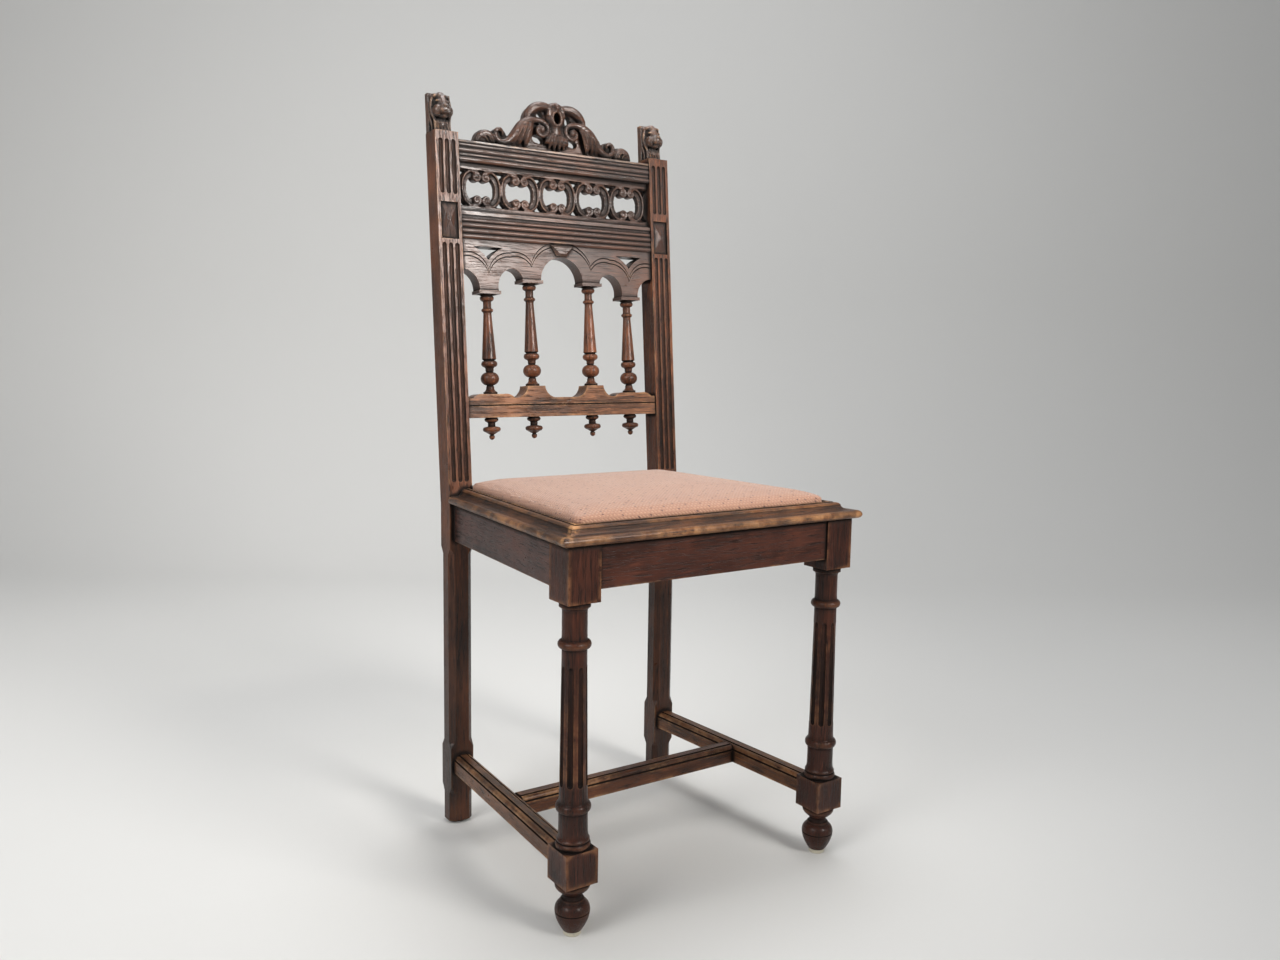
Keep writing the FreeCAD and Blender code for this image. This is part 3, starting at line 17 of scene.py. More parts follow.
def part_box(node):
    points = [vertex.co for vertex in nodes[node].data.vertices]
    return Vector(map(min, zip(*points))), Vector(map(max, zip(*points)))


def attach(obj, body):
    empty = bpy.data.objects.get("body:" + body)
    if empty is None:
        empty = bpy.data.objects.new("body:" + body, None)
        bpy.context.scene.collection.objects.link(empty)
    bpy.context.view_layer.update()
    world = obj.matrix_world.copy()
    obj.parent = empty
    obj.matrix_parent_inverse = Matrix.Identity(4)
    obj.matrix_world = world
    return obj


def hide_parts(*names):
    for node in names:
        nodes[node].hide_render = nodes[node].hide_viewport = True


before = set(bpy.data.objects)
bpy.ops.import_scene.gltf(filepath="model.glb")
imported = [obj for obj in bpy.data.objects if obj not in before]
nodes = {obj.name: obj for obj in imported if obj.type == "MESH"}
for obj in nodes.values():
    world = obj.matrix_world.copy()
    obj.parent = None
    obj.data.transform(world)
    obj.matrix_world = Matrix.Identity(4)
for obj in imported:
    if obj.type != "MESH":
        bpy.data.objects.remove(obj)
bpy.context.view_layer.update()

MM = 0.001

# %% [markdown]
# ## Camera and light
# The photograph was taken from standing height, to the left of the chair and looking slightly
# down. Its position, its turn and its focal length were worked out from the chair's own corners,
# so the same corners fall on the same pixels here. There are four soft lamps. One in front, to
# the right of the camera, is mirrored by the waxed faces of the back and gives them their pale
# sheen. A large one on the left and one overhead keep the shadows open, and the fourth lights
# the paper behind the chair.

# %% Camera
PHOTO_SIZE = (1280, 960)
FOCAL_PIXELS = 1079.02
SENSOR_WIDTH = 36
CAMERA_PLACE = (-0.7929, -1.1929377, 0.6673)
yaw, pitch, roll = math.radians(-34.37), math.radians(-6.924), math.radians(0.91)
forward = Vector((-math.sin(yaw) * math.cos(pitch), math.cos(yaw) * math.cos(pitch), math.sin(pitch)))
level_right = Vector((math.cos(yaw), math.sin(yaw), 0))
level_up = level_right.cross(forward)
right = level_right * math.cos(roll) + level_up * math.sin(roll)
up = level_up * math.cos(roll) - level_right * math.sin(roll)

camera = bpy.data.objects.new("camera", bpy.data.cameras.new("camera"))
bpy.context.scene.collection.objects.link(camera)
camera.data.sensor_fit = "HORIZONTAL"
camera.data.sensor_width = SENSOR_WIDTH
camera.data.lens = SENSOR_WIDTH * FOCAL_PIXELS / PHOTO_SIZE[0]
turn = Matrix((right, up, -forward)).transposed().to_4x4()
camera.matrix_world = Matrix.Translation(CAMERA_PLACE) @ turn
bpy.context.scene.camera = camera
bpy.context.scene.view_settings.view_transform = "Standard"
print(f"lens {camera.data.lens:.2f} mm")

# %% Lamps and world
def soft_lamp(name, place, target, size, watts, tint=(1, 1, 1), spread=180):
    lamp = bpy.data.lights.new(name, "AREA")
    lamp.shape = "DISK"
    lamp.size = size
    lamp.energy = watts
    lamp.color = tint
    lamp.spread = math.radians(spread)
    holder = bpy.data.objects.new(name, lamp)
    bpy.context.scene.collection.objects.link(holder)
    holder.location = place
    holder.rotation_euler = (Vector(target) - Vector(place)).to_track_quat("-Z", "Y").to_euler()


soft_lamp("window_left", (-2.3, -0.6, 1.8), (0, 0, 0.5), 1.6, 38, (1.0, 0.99, 0.97))
soft_lamp("front_right", (0.55, -1.95, 1.5), (-0.05, 0.15, 0.88), 0.8, 9, (1.0, 0.97, 0.93), 64)
soft_lamp("ceiling", (0.3, 0.2, 2.6), (0, 0, 0.4), 1.6, 22)
over_chair = (0.4 * forward.x, 0.4 * forward.y, 3.4)
on_paper = (2.5 * forward.x, 2.5 * forward.y, 0.9)
soft_lamp("backdrop", over_chair, on_paper, 1.6, 24)

world = bpy.data.worlds.new("studio")
bpy.context.scene.world = world
world.use_nodes = True
sky = world.node_tree.nodes["Background"].inputs
sky["Color"].default_value = (0.86, 0.87, 0.88, 1)
sky["Strength"].default_value = 0.24
print(len(bpy.data.lights), "lamps and a grey sky")

# %% [markdown]
# ## Building shaders
# A material is a small graph of nodes. Short helpers keep the graphs readable: one adds a node
# and fills in its sockets, four make the sums, noises, mixes and ranges that come again and
# again, one makes a node group with named sockets, and one makes a material with a Principled
# shader.

# %% Shader helpers
def add_node(tree, kind, settings=None, **sockets):
    node = tree.nodes.new(kind)
    for name, value in (settings or {}).items():
        setattr(node, name, value)
    for name, value in sockets.items():
        socket = node.inputs[int(name[1:])] if name[0] == "_" else node.inputs[name.replace("_", " ")]
        if isinstance(value, bpy.types.NodeSocket):
            tree.links.new(value, socket)
        else:
            socket.default_value = value
    return node


def math_node(tree, operation, first, second=0.0, clamp=False):
    settings = {"operation": operation, "use_clamp": clamp}
    return add_node(tree, "ShaderNodeMath", settings, _0=first, _1=second).outputs[0]


def noise_node(tree, vector, scale, detail, roughness=0.5):
    return add_node(
        tree, "ShaderNodeTexNoise", Vector=vector, Scale=scale, Detail=detail, Roughness=roughness,
    ).outputs[0]


def mix_colour(tree, amount, first, second, blend="MIX"):
    node = add_node(tree, "ShaderNodeMix", {"data_type": "RGBA", "blend_type": blend})
    for place, value in ((0, amount), (6, first), (7, second)):
        socket = node.inputs[place]
        if isinstance(value, bpy.types.NodeSocket):
            tree.links.new(value, socket)
        else:
            socket.default_value = value
    return node.outputs[2]


def ramp(tree, value, low, high):
    """Stretch the part of a value between two limits over 0 to 1."""
    return add_node(
        tree, "ShaderNodeMapRange", {"clamp": True}, Value=value, From_Min=low, From_Max=high,
    ).outputs[0]


def new_group(name, inputs, outputs):
    """Make a node group: inputs are (name, type, default), outputs (name, type)."""
    tree = bpy.data.node_groups.new(name, "ShaderNodeTree")
    for label, kind, default in inputs:
        socket = tree.interface.new_socket(label, in_out="INPUT", socket_type=kind)
        socket.default_value = default
    for label, kind in outputs:
        tree.interface.new_socket(label, in_out="OUTPUT", socket_type=kind)
    return tree, tree.nodes.new("NodeGroupInput").outputs, tree.nodes.new("NodeGroupOutput").inputs


def new_material(name, group, values, bump_depth, **shader):
    """A material whose group drives colour, roughness and bump; shader sets plain sockets."""
    material = bpy.data.materials.new(name)
    material.use_nodes = True
    tree = material.node_tree
    bsdf = tree.nodes["Principled BSDF"]
    for socket, value in shader.items():
        bsdf.inputs[socket.replace("_", " ")].default_value = value
    skin = tree.nodes.new("ShaderNodeGroup")
    skin.node_tree = group
    for socket, value in values.items():
        skin.inputs[socket].default_value = value
    tree.links.new(skin.outputs["Color"], bsdf.inputs["Base Color"])
    tree.links.new(skin.outputs["Roughness"], bsdf.inputs["Roughness"])
    bump = add_node(tree, "ShaderNodeBump", Height=skin.outputs["Height"], Distance=bump_depth)
    tree.links.new(bump.outputs["Normal"], bsdf.inputs["Normal"])
    return material


# %% [markdown]
# ## Old waxed oak
# The oak is red brown on open faces and almost black in its hollows and at the joins between
# parts: partly old wax and dirt, partly painted shade. A century of hands and dusters has worn
# its edges back to ochre. One node group does all of this. Noise stretched along the grain gives
# streaks and pores. Ambient Occlusion finds the hollows, which it darkens with dirt and painted
# shade, and the same node, looking into the wood, finds the ridges and arrises to wear. The grain
# runs along each timber, so the stretch is an input. Figure sets how strongly the grain shows,
# Dirt And Shade Reach how far the dirt and painted shade spread from a corner, and Low Dark how
# much painted shade darkens the wood near the floor, under the seat.

# %% Oak node group: sockets
oak, oak_in, oak_out = new_group(
    "waxed_oak",
    [
        ("Stain", "NodeSocketColor", (0.080, 0.028, 0.017, 1)),
        ("Hollow", "NodeSocketColor", (0.007, 0.004, 0.003, 1)),
        ("Worn", "NodeSocketColor", (0.40, 0.215, 0.10, 1)),
        ("Grain", "NodeSocketVector", (60, 60, 4)),
        ("Wear", "NodeSocketFloat", 0.6),
        ("Edge", "NodeSocketFloat", 0.003),
        ("Figure", "NodeSocketFloat", 1.0),
        ("Grime Reach", "NodeSocketFloat", 0.007),
        ("Low Dark", "NodeSocketFloat", 0.0),
    ],
    [("Color", "NodeSocketColor"), ("Roughness", "NodeSocketFloat"), ("Height", "NodeSocketFloat")],
)
print("oak inputs:", ", ".join(socket.name for socket in oak_in if socket.name))

# %% Oak node group: grain
place = add_node(oak, "ShaderNodeTexCoord").outputs["Object"]
along = add_node(
    oak, "ShaderNodeVectorMath", {"operation": "MULTIPLY"}, _0=place, _1=oak_in["Grain"],
).outputs[0]
streak = noise_node(oak, along, 1.0, 6.0, 0.6)
pore = noise_node(oak, along, 9.0, 3.0, 0.7)
patch = noise_node(oak, place, 14.0, 4.0)
smudge = noise_node(oak, place, 70.0, 5.0, 0.65)

dark_share = math_node(oak, "MULTIPLY", oak_in["Figure"], 0.75)
dark_stain = mix_colour(oak, dark_share, oak_in["Stain"], oak_in["Hollow"])
timber = mix_colour(oak, ramp(oak, streak, 0.36, 0.60), dark_stain, oak_in["Stain"])
warm_stain = mix_colour(oak, 1.0, oak_in["Stain"], (2.0, 1.9, 1.7, 1), "MULTIPLY")
warm_patch = math_node(oak, "MULTIPLY", ramp(oak, patch, 0.48, 0.75), 0.75)
timber = mix_colour(oak, warm_patch, timber, warm_stain)
pore_share = math_node(oak, "MULTIPLY", oak_in["Figure"], 0.85)
pores = math_node(oak, "MULTIPLY", ramp(oak, pore, 0.53, 0.64), pore_share)
timber = mix_colour(oak, pores, timber, oak_in["Hollow"])
ray_fleck = math_node(oak, "MULTIPLY", ramp(oak, pore, 0.42, 0.32), 0.8)
timber = mix_colour(oak, ray_fleck, timber, warm_stain)
# Painted shade: the wood goes darker towards the floor, standing in for the shade under the seat.
level = add_node(oak, "ShaderNodeSeparateXYZ", Vector=place).outputs[2]
painted_low_shade = math_node(oak, "MULTIPLY", ramp(oak, level, 0.46, 0.30), oak_in["Low Dark"])
timber = mix_colour(oak, painted_low_shade, timber, oak_in["Hollow"])
print("oak grain:", len(oak.nodes), "nodes")

# %% Oak node group: wear, dirt and painted shade
ridge_light = add_node(
    oak, "ShaderNodeAmbientOcclusion", {"samples": 8, "inside": True, "only_local": True},
    Distance=oak_in["Edge"],
).outputs["AO"]
edge = ramp(oak, ridge_light, 0.9, 0.5)
hollow_light = add_node(
    oak, "ShaderNodeAmbientOcclusion", {"samples": 8}, Distance=oak_in["Grime Reach"],
).outputs["AO"]
open_face = ramp(oak, hollow_light, 0.6, 0.95)
handled = math_node(oak, "MULTIPLY", open_face, ramp(oak, patch, 0.34, 0.56))
rubbed = math_node(oak, "MULTIPLY", edge, ramp(oak, smudge, 0.40, 0.60))
rubbed = math_node(oak, "MULTIPLY", rubbed, handled)
rubbed = math_node(oak, "MULTIPLY", rubbed, oak_in["Wear"], clamp=True)
surface = mix_colour(oak, rubbed, timber, oak_in["Worn"])
# Dirt and painted shade: the colour goes towards Hollow where Ambient Occlusion finds hollows and joins
# between parts.
dirt_and_shade = math_node(oak, "SUBTRACT", 1.0, ramp(oak, hollow_light, 0.78, 1.0))
surface = mix_colour(oak, math_node(oak, "MULTIPLY", dirt_and_shade, 0.95), surface, oak_in["Hollow"])
oak.links.new(surface, oak_out["Color"])
polish = math_node(oak, "MULTIPLY", ramp(oak, smudge, 0.3, 0.7), 0.16)
matt = math_node(oak, "MULTIPLY", dirt_and_shade, 0.6)
base_rough = math_node(oak, "ADD", math_node(oak, "ADD", polish, matt), 0.27)
oak.links.new(base_rough, oak_out["Roughness"])
relief = math_node(oak, "SUBTRACT", math_node(oak, "MULTIPLY", streak, 0.5), pores)
oak.links.new(relief, oak_out["Height"])
print("oak group:", len(oak.nodes), "nodes")

# %% Oak finishes
UPRIGHT, ACROSS, DEEP = (55, 55, 3.2), (3.2, 55, 55), (55, 3.2, 55)
OAK_ROWS = [
    # finish, grain, stain, wear, width of the worn edge, gloss
    ("post", UPRIGHT, (0.120, 0.043, 0.021), 0.6, 0.003, 0.30),
    # the legs' very dark stain is partly painted shade: they stand in the shade of the seat
    ("leg", UPRIGHT, (0.040, 0.013, 0.008), 0.8, 0.0075, 0.22),
    ("boss", UPRIGHT, (0.055, 0.022, 0.013), 0.25, 0.0012, 0.50),
    ("back_board", ACROSS, (0.076, 0.032, 0.019), 0.4, 0.003, 0.80),
    ("arcade", ACROSS, (0.068, 0.027, 0.015), 0.3, 0.0012, 0.62),
    ("worn_rail", ACROSS, (0.175, 0.077, 0.039), 1.0, 0.006, 0.35),
    ("front_rail", ACROSS, (0.052, 0.018, 0.012), 0.6, 0.003, 0.18),
    ("side_rail", DEEP, (0.060, 0.022, 0.016), 0.6, 0.003, 0.35),
    ("centre_stretcher", ACROSS, (0.085, 0.032, 0.016), 1.0, 0.006, 0.25),
    ("side_stretcher", DEEP, (0.110, 0.045, 0.020), 1.0, 0.006, 0.25),
    ("nosing", ACROSS, (0.100, 0.039, 0.016), 1.7, 0.008, 0.40),
    ("side_nosing", DEEP, (0.100, 0.039, 0.016), 1.7, 0.008, 0.40),
    ("carved", ACROSS, (0.062, 0.026, 0.015), 0.6, 0.0022, 0.50),
    ("head", ACROSS, (0.085, 0.034, 0.016), 1.0, 0.004, 0.85),
]
FIGURE = {"arcade": 0.75, "front_rail": 0.8}
# how far the dirt and painted shade spread from a corner
DIRT_AND_SHADE_REACH = {"nosing": 0.012, "side_nosing": 0.012}
OCHRE, DARK_OCHRE, BRIGHT_OCHRE = (0.40, 0.215, 0.10), (0.25, 0.11, 0.05), (0.48, 0.24, 0.10)
WORN_TINT = {"leg": DARK_OCHRE, "nosing": BRIGHT_OCHRE, "side_nosing": BRIGHT_OCHRE}
# Low Dark paints the shade under the seat onto the lower part of the posts.
LOW_DARK = {"post": 0.6}
GRAIN_DEPTH = 0.0004
oak_finish = {}
for finish, grain, stain, wear, worn_width, gloss in OAK_ROWS:
    figure = FIGURE.get(finish, 1.0)
    oak_finish[finish] = new_material(
        f"oak_{finish}", oak,
        {
            "Grain": grain, "Stain": (*stain, 1), "Wear": wear, "Edge": worn_width, "Figure": figure,
            "Grime Reach": DIRT_AND_SHADE_REACH.get(finish, 0.007), "Low Dark": LOW_DARK.get(finish, 0.0),
            "Worn": (*WORN_TINT.get(finish, OCHRE), 1),
        },
        bump_depth=GRAIN_DEPTH * figure ** 2, Specular_IOR_Level=gloss,
        Coat_Weight=0.05, Coat_Roughness=0.25,
    )
beech_finish = new_material(
    "raw_beech", oak,
    {
        "Stain": (0.42, 0.27, 0.14, 1), "Hollow": (0.16, 0.09, 0.05, 1), "Worn": (0.52, 0.38, 0.23, 1),
        "Grain": ACROSS, "Wear": 0.2,
    },
    bump_depth=0.0003,
)
print("oak finishes:", ", ".join(oak_finish))

# %% [markdown]
# ## Dressing the timber
# The solids have true joints but razor edges. Real edges are eased by the plane and by use, and
# they catch the light. A Weld modifier closes the seams of the imported mesh, a Bevel modifier
# eases each sharp edge, and a small geometry node group shades the turned parts smoothly while
# it keeps the arrises crisp. Weighted normals keep broad faces flat right up to the eased edge.
# The solid's own mesh stays untouched underneath.

# %% Eased edges
SEAM = 0.00001
EASE, FINE_EASE = 0.0006, 0.00025
ROUND_LIMIT, FACET_LIMIT = 32, 6
crisp = bpy.data.node_groups.new("smooth_by_angle", "GeometryNodeTree")
crisp.interface.new_socket("Geometry", in_out="INPUT", socket_type="NodeSocketGeometry")
limit_socket = crisp.interface.new_socket("Limit", in_out="INPUT", socket_type="NodeSocketFloat")
crisp.interface.new_socket("Geometry", in_out="OUTPUT", socket_type="NodeSocketGeometry")
mesh_in, limit = crisp.nodes.new("NodeGroupInput").outputs[:2]
bend = crisp.nodes.new("GeometryNodeInputMeshEdgeAngle").outputs[0]
rounded = add_node(
    crisp, "FunctionNodeCompare", {"data_type": "FLOAT", "operation": "LESS_THAN"},
    A=bend, B=limit,
).outputs[0]
SMOOTH = "GeometryNodeSetShadeSmooth"
all_smooth = add_node(crisp, SMOOTH, {"domain": "FACE"}, _0=mesh_in, _2=True).outputs[0]
by_edge = add_node(crisp, SMOOTH, {"domain": "EDGE"}, _0=all_smooth, _2=rounded).outputs[0]
crisp.links.new(by_edge, crisp.nodes.new("NodeGroupOutput").inputs[0])


def ease_edges(part, width, smooth_limit=ROUND_LIMIT):
    weld = part.modifiers.new("weld", "WELD")
    weld.merge_threshold = SEAM
    ease = part.modifiers.new("ease", "BEVEL")
    ease.width = width
    ease.segments = 2
    ease.limit_method = "ANGLE"
    ease.angle_limit = math.radians(35)
    ease.use_clamp_overlap = True
    shade = part.modifiers.new("shade", "NODES")
    shade.node_group = crisp
    shade[limit_socket.identifier] = math.radians(smooth_limit)
    flatten = part.modifiers.new("flatten", "WEIGHTED_NORMAL")
    flatten.keep_sharp = True


# %% Finish each timber
TIMBERS = [
    # start of the part's name, finish; the rest are back boards
    ("rear_post", "post"), ("spindle", "post"), ("pendant", "post"), ("diamond_boss", "boss"),
    ("arcade_rail", "arcade"), ("lower_back_rail", "worn_rail"), ("seat_rail_front", "front_rail"),
    ("seat_rail_back", "front_rail"), ("seat_rail", "side_rail"), ("seat_moulding_front", "nosing"),
    ("seat_moulding", "side_nosing"),
]
FACETED = ("diamond_boss", "keystone")
INCISED = ("arcade_rail", "top_rail", "seat_moulding")
SOFT = ("felt", "webbing", "hessian", "seat_welt", "seat_pad")
BEECH = ("seat_frame", "corner_block", "seat_bearer")
for name, part in nodes.items():
    if name.startswith(SOFT):
        continue
    finish = next((row[1] for row in TIMBERS if name.startswith(row[0])), "back_board")
    part.data.materials.clear()
    part.data.materials.append(beech_finish if name.startswith(BEECH) else oak_finish[finish])
    width = FINE_EASE if name.startswith(FACETED + INCISED) else EASE
    ease_edges(part, width, FACET_LIMIT if name.startswith(FACETED) else ROUND_LIMIT)
print("timber dressed, apart from", sum(name.startswith(SOFT) for name in nodes), "soft parts")

# %% [markdown]
# ## Carving tools
# Carved work flows from one form into the next, and a union of many simple solids gives that.
# Tubes of changing thickness follow a leaf or a scroll, and stretched balls make cheeks and
# lobes. A voxel remesh then fuses them into one skin, and a light smoothing rounds the joins,
# much as a carver's last pass does. Everything is drawn in the chair back's own leaning frame:
# across, behind and up, in millimetres.

# %% Helpers for carving
POST_Y, RAIL_TOP, RAKE = 0.1427623, 0.455, 4.8
BACK = Matrix.Translation((0, POST_Y, RAIL_TOP)) @ Matrix.Rotation(-math.radians(RAKE), 4, "X")
BACK_MM = BACK @ Matrix.Scale(MM, 4)


def placed(centre, size):
    return Matrix.Translation(centre) @ Matrix.Diagonal((*size, 1))


def add_ball(mass, centre, radii):
    bmesh.ops.create_icosphere(mass, subdivisions=3, radius=1, matrix=placed(centre, radii))


def add_block(mass, centre, size):
    bmesh.ops.create_cube(mass, size=1, matrix=placed(centre, size))


def skin_rings(mass, rings):
    """Join each ring of points to the next with four-sided faces."""
    count = len(rings[0])
    for low, high in zip(rings, rings[1:]):
        for k in range(count):
            mass.faces.new((low[k], low[(k + 1) % count], high[(k + 1) % count], high[k]))


def smooth_path(points, steps=6):
    """A Catmull-Rom curve through rows of numbers: place and radius alike."""
    rows = np.array(points, float)
    padded = np.vstack([2 * rows[0] - rows[1], rows, 2 * rows[-1] - rows[-2]])
    made = []
    for first, start, end, last in zip(padded, padded[1:], padded[2:], padded[3:]):
        for t in np.arange(steps) / steps:
            made.append(0.5 * (
                2 * start + (end - first) * t + (2 * first - 5 * start + 4 * end - last) * t ** 2
                + (3 * start - first - 3 * end + last) * t ** 3
            ))
    return np.vstack([made, rows[-1]])


# %% Tubes
THINNEST = 0.15


def add_tube(mass, points, sides=10):
    """A closed tube along rows of (across, behind, up, radius)."""
    path = smooth_path(points)
    heading = np.gradient(path[:, :3], axis=0)
    rings = []
    for (across, behind, high, radius), way in zip(path, heading):
        way = Vector(way).normalized()
        side = way.cross(Vector((0, 1, 0)))
        side = side.normalized() if side.length > 0.2 else way.cross(Vector((0, 0, 1))).normalized()
        depth = side.cross(way).normalized()
        ring = []
        for k in range(sides):
            angle = 2 * math.pi * k / sides
            reach = side * math.cos(angle) + depth * math.sin(angle)
            ring.append(mass.verts.new(Vector((across, behind, high)) + reach * max(radius, THINNEST)))
        rings.append(ring)
    skin_rings(mass, rings)
    mass.faces.new(rings[0][::-1])
    mass.faces.new(rings[-1])
    for tip in (path[0], path[-1]):
        add_ball(mass, tip[:3], [tip[3]] * 3)


def mirrored(points):
    return [(-row[0], *row[1:]) for row in points]


# %% Helpers for finished pieces
def mesh_from(name, points, faces):
    mesh = bpy.data.meshes.new(name)
    mesh.from_pydata(points, [], faces)
    return mesh


def band_faces(rows, count):
    """Four-sided faces between rows of points, each row a closed ring of the same count."""
    faces = []
    for row in range(rows - 1):
        for k in range(count):
            low, high = row * count, (row + 1) * count
            following = (k + 1) % count
            faces.append((low + k, low + following, high + following, high + k))
    return faces


def piece_from(mesh, name, material, body):
    piece = bpy.data.objects.new(name, mesh)
    bpy.context.scene.collection.objects.link(piece)
    mesh.materials.clear()
    mesh.materials.append(material)
    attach(piece, body)
    return piece


def shaped(mesh, *steps):
    """Apply modifiers, given as (kind, settings), to a mesh and return the new mesh."""
    holder = bpy.data.objects.new("shaping", mesh)
    bpy.context.scene.collection.objects.link(holder)
    for kind, settings in steps:
        modifier = holder.modifiers.new(kind.lower(), kind)
        for key, value in settings.items():
            setattr(modifier, key, value)
    depsgraph = bpy.context.evaluated_depsgraph_get()
    made = bpy.data.meshes.new_from_object(holder.evaluated_get(depsgraph))
    bpy.data.objects.remove(holder)
    return made


def carve(mass, name, voxel, smoothing, keep_share):
    """Fuse a bmesh in millimetres of the back's frame into one smooth skin in metres."""
    bmesh.ops.recalc_face_normals(mass, faces=mass.faces)
    rough = bpy.data.meshes.new(name)
    mass.to_mesh(rough)
    mass.free()
    skin = shaped(
        rough,
        ("REMESH", {"mode": "VOXEL", "voxel_size": voxel, "use_smooth_shade": True}),
        ("SMOOTH", {"factor": 0.5, "iterations": smoothing}),
        ("DECIMATE", {"ratio": keep_share}),
    )
    skin.transform(BACK_MM)
    skin.shade_smooth()
    skin.name = name
    return skin


# %% [markdown]
# ## Turned legs
# The front legs stand on onion feet: a saucer under the square block, a waist, a collar, and an
# onion with one incised line. Above the block come a torus with a fillet and two half-round
# rings, with the fluted shaft between them. The blocks and the shaft are kept from the solid.
# The turned profiles are spun between them and bridged to the cut rims of the shaft, because an
# inner cap there would be read as a sharp edge by the wear in the oak group.

# %% Front leg profiles
FOOT_ROWS = [
    # radius and level in millimetres, from the felt up to the block
    (11.2, 5.8), (12.8, 8.2), (15.2, 12.2), (17.4, 16.6), (19.1, 20.8), (20.0, 24.6), (20.4, 27.6),
    (19.4, 28.5), (20.6, 29.4), (20.5, 31.2), (19.9, 34.2), (18.6, 37.0), (16.6, 39.2), (14.4, 40.6),
    (13.9, 41.4), (14.0, 42.6), (13.2, 43.6), (11.6, 44.2), (10.7, 45.4), (10.5, 47.0), (11.0, 48.6),
    (12.6, 50.4), (15.4, 52.8), (18.4, 55.6), (20.2, 58.2), (20.6, 60.4), (20.2, 62.6), (19.0, 64.2),
]
BASE_ROWS = [
    # torus and fillet on the block, then the low ring
    (18.6, 105.0), (19.8, 106.2), (20.4, 108.0), (20.4, 109.6), (19.8, 111.4), (18.6, 112.6),
    (17.9, 113.0), (18.7, 113.6), (19.2, 114.4), (19.2, 115.8), (18.6, 116.6), (17.8, 118.2),
    (17.2, 120.6), (16.9, 124.0), (16.8, 136.0), (16.8, 147.4), (18.2, 148.2), (19.7, 149.8),
    (20.4, 151.8), (20.5, 153.4), (20.2, 155.4), (19.2, 157.2), (17.4, 158.4), (16.7, 159.4),
    (16.4, 164.0), (16.2, 171.0),
]
RING_ROWS = [
    # high ring
    (14.4, 334.0), (14.5, 335.6), (15.6, 336.4), (17.6, 337.6), (18.8, 339.4), (19.2, 341.4),
    (18.8, 343.4), (17.6, 345.2), (15.6, 346.2), (14.6, 347.0), (14.4, 353.0),
]
LEG_CUTS = FOOT_TOP, BLOCK_TOP, SHAFT_START, SHAFT_END, NECK_START = 64.2, 105.2, 174.0, 332.0, 355.0
print("leg profiles:", len(FOOT_ROWS), len(BASE_ROWS), len(RING_ROWS), "rows")


# %% Front legs: turning and cutting
def spin(mass, rows, centre, count=48):
    """Add a turning with rows of (radius, level) in millimetres; return its first and last ring."""
    rings = []
    for radius, level in rows:
        ring = []
        for k in range(count):
            angle = 2 * math.pi * k / count
            x = centre.x + radius * MM * math.cos(angle)
            y = centre.y + radius * MM * math.sin(angle)
            ring.append(mass.verts.new((x, y, level * MM)))
        rings.append(ring)
    skin_rings(mass, rings)
    return rings[0], rings[-1]


def rim_at(mass, level):
    """The open edges at a level in millimetres."""
    return [
        edge for edge in mass.edges
        if edge.is_boundary and all(abs(vert.co.z - level * MM) < SEAM for vert in edge.verts)
    ]


def keep_lengths(mass):
    """Cut the leg at its levels and drop what the spun profiles take over."""
    for level in LEG_CUTS:
        parts = mass.verts[:] + mass.edges[:] + mass.faces[:]
        bmesh.ops.bisect_plane(mass, geom=parts, plane_co=(0, 0, level * MM), plane_no=(0, 0, 1))
    gone = []
    for face in mass.faces:
        level = face.calc_center_median().z / MM
        if level < FOOT_TOP or BLOCK_TOP < level < SHAFT_START or SHAFT_END < level < NECK_START:
            gone.append(face)
    bmesh.ops.delete(mass, geom=gone, context="FACES")


# %% Front legs: putting one together
def turned_leg(side):
    node = f"front_leg_{side}"
    low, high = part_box(node)
    centre = (low + high) / 2
    leg = bmesh.new()
    leg.from_mesh(nodes[node].data)
    bmesh.ops.remove_doubles(leg, verts=leg.verts, dist=SEAM)
    keep_lengths(leg)
    rims = {level: rim_at(leg, level) for level in LEG_CUTS}
    for level in (FOOT_TOP, BLOCK_TOP):
        bmesh.ops.contextual_create(leg, geom=rims[level])
    for ring in spin(leg, FOOT_ROWS, centre):
        leg.faces.new(ring)
    leg.faces.new(spin(leg, BASE_ROWS, centre)[0])
    spin(leg, RING_ROWS, centre)
    joins = (SHAFT_START, BASE_ROWS[-1]), (SHAFT_END, RING_ROWS[0]), (NECK_START, RING_ROWS[-1])
    for level, row in joins:
        bmesh.ops.bridge_loops(leg, edges=rims[level] + rim_at(leg, row[1]))
    bmesh.ops.recalc_face_normals(leg, faces=leg.faces)
    mesh = bpy.data.meshes.new(node)
    leg.to_mesh(mesh)
    still_open = sum(edge.is_boundary for edge in leg.edges)
    leg.free()
    piece = piece_from(mesh, f"turned_leg_{side}", oak_finish["leg"], "frame")
    ease_edges(piece, EASE)
    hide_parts(node)
    return f"{len(mesh.polygons)} faces, {still_open} open edges"


for side in ("left", "right"):
    print("turned leg", side, turned_leg(side))

# %% [markdown]
# ## Moulded stretchers
# The stretchers have a bead along each upper edge, sunk between two narrow quirks that the oak
# group darkens with dirt and painted shade. The section is drawn once and run between two ends.

# %% Section of a stretcher
STRETCHER_LOW, STRETCHER_HIGH, STRETCHER_HALF = 76.0, 101.0, 12.5
BEAD, BEAD_SET, QUIRK, SUNK = 5.0, 0.8, 2.2, 2.4
BEAD_STEPS = 8


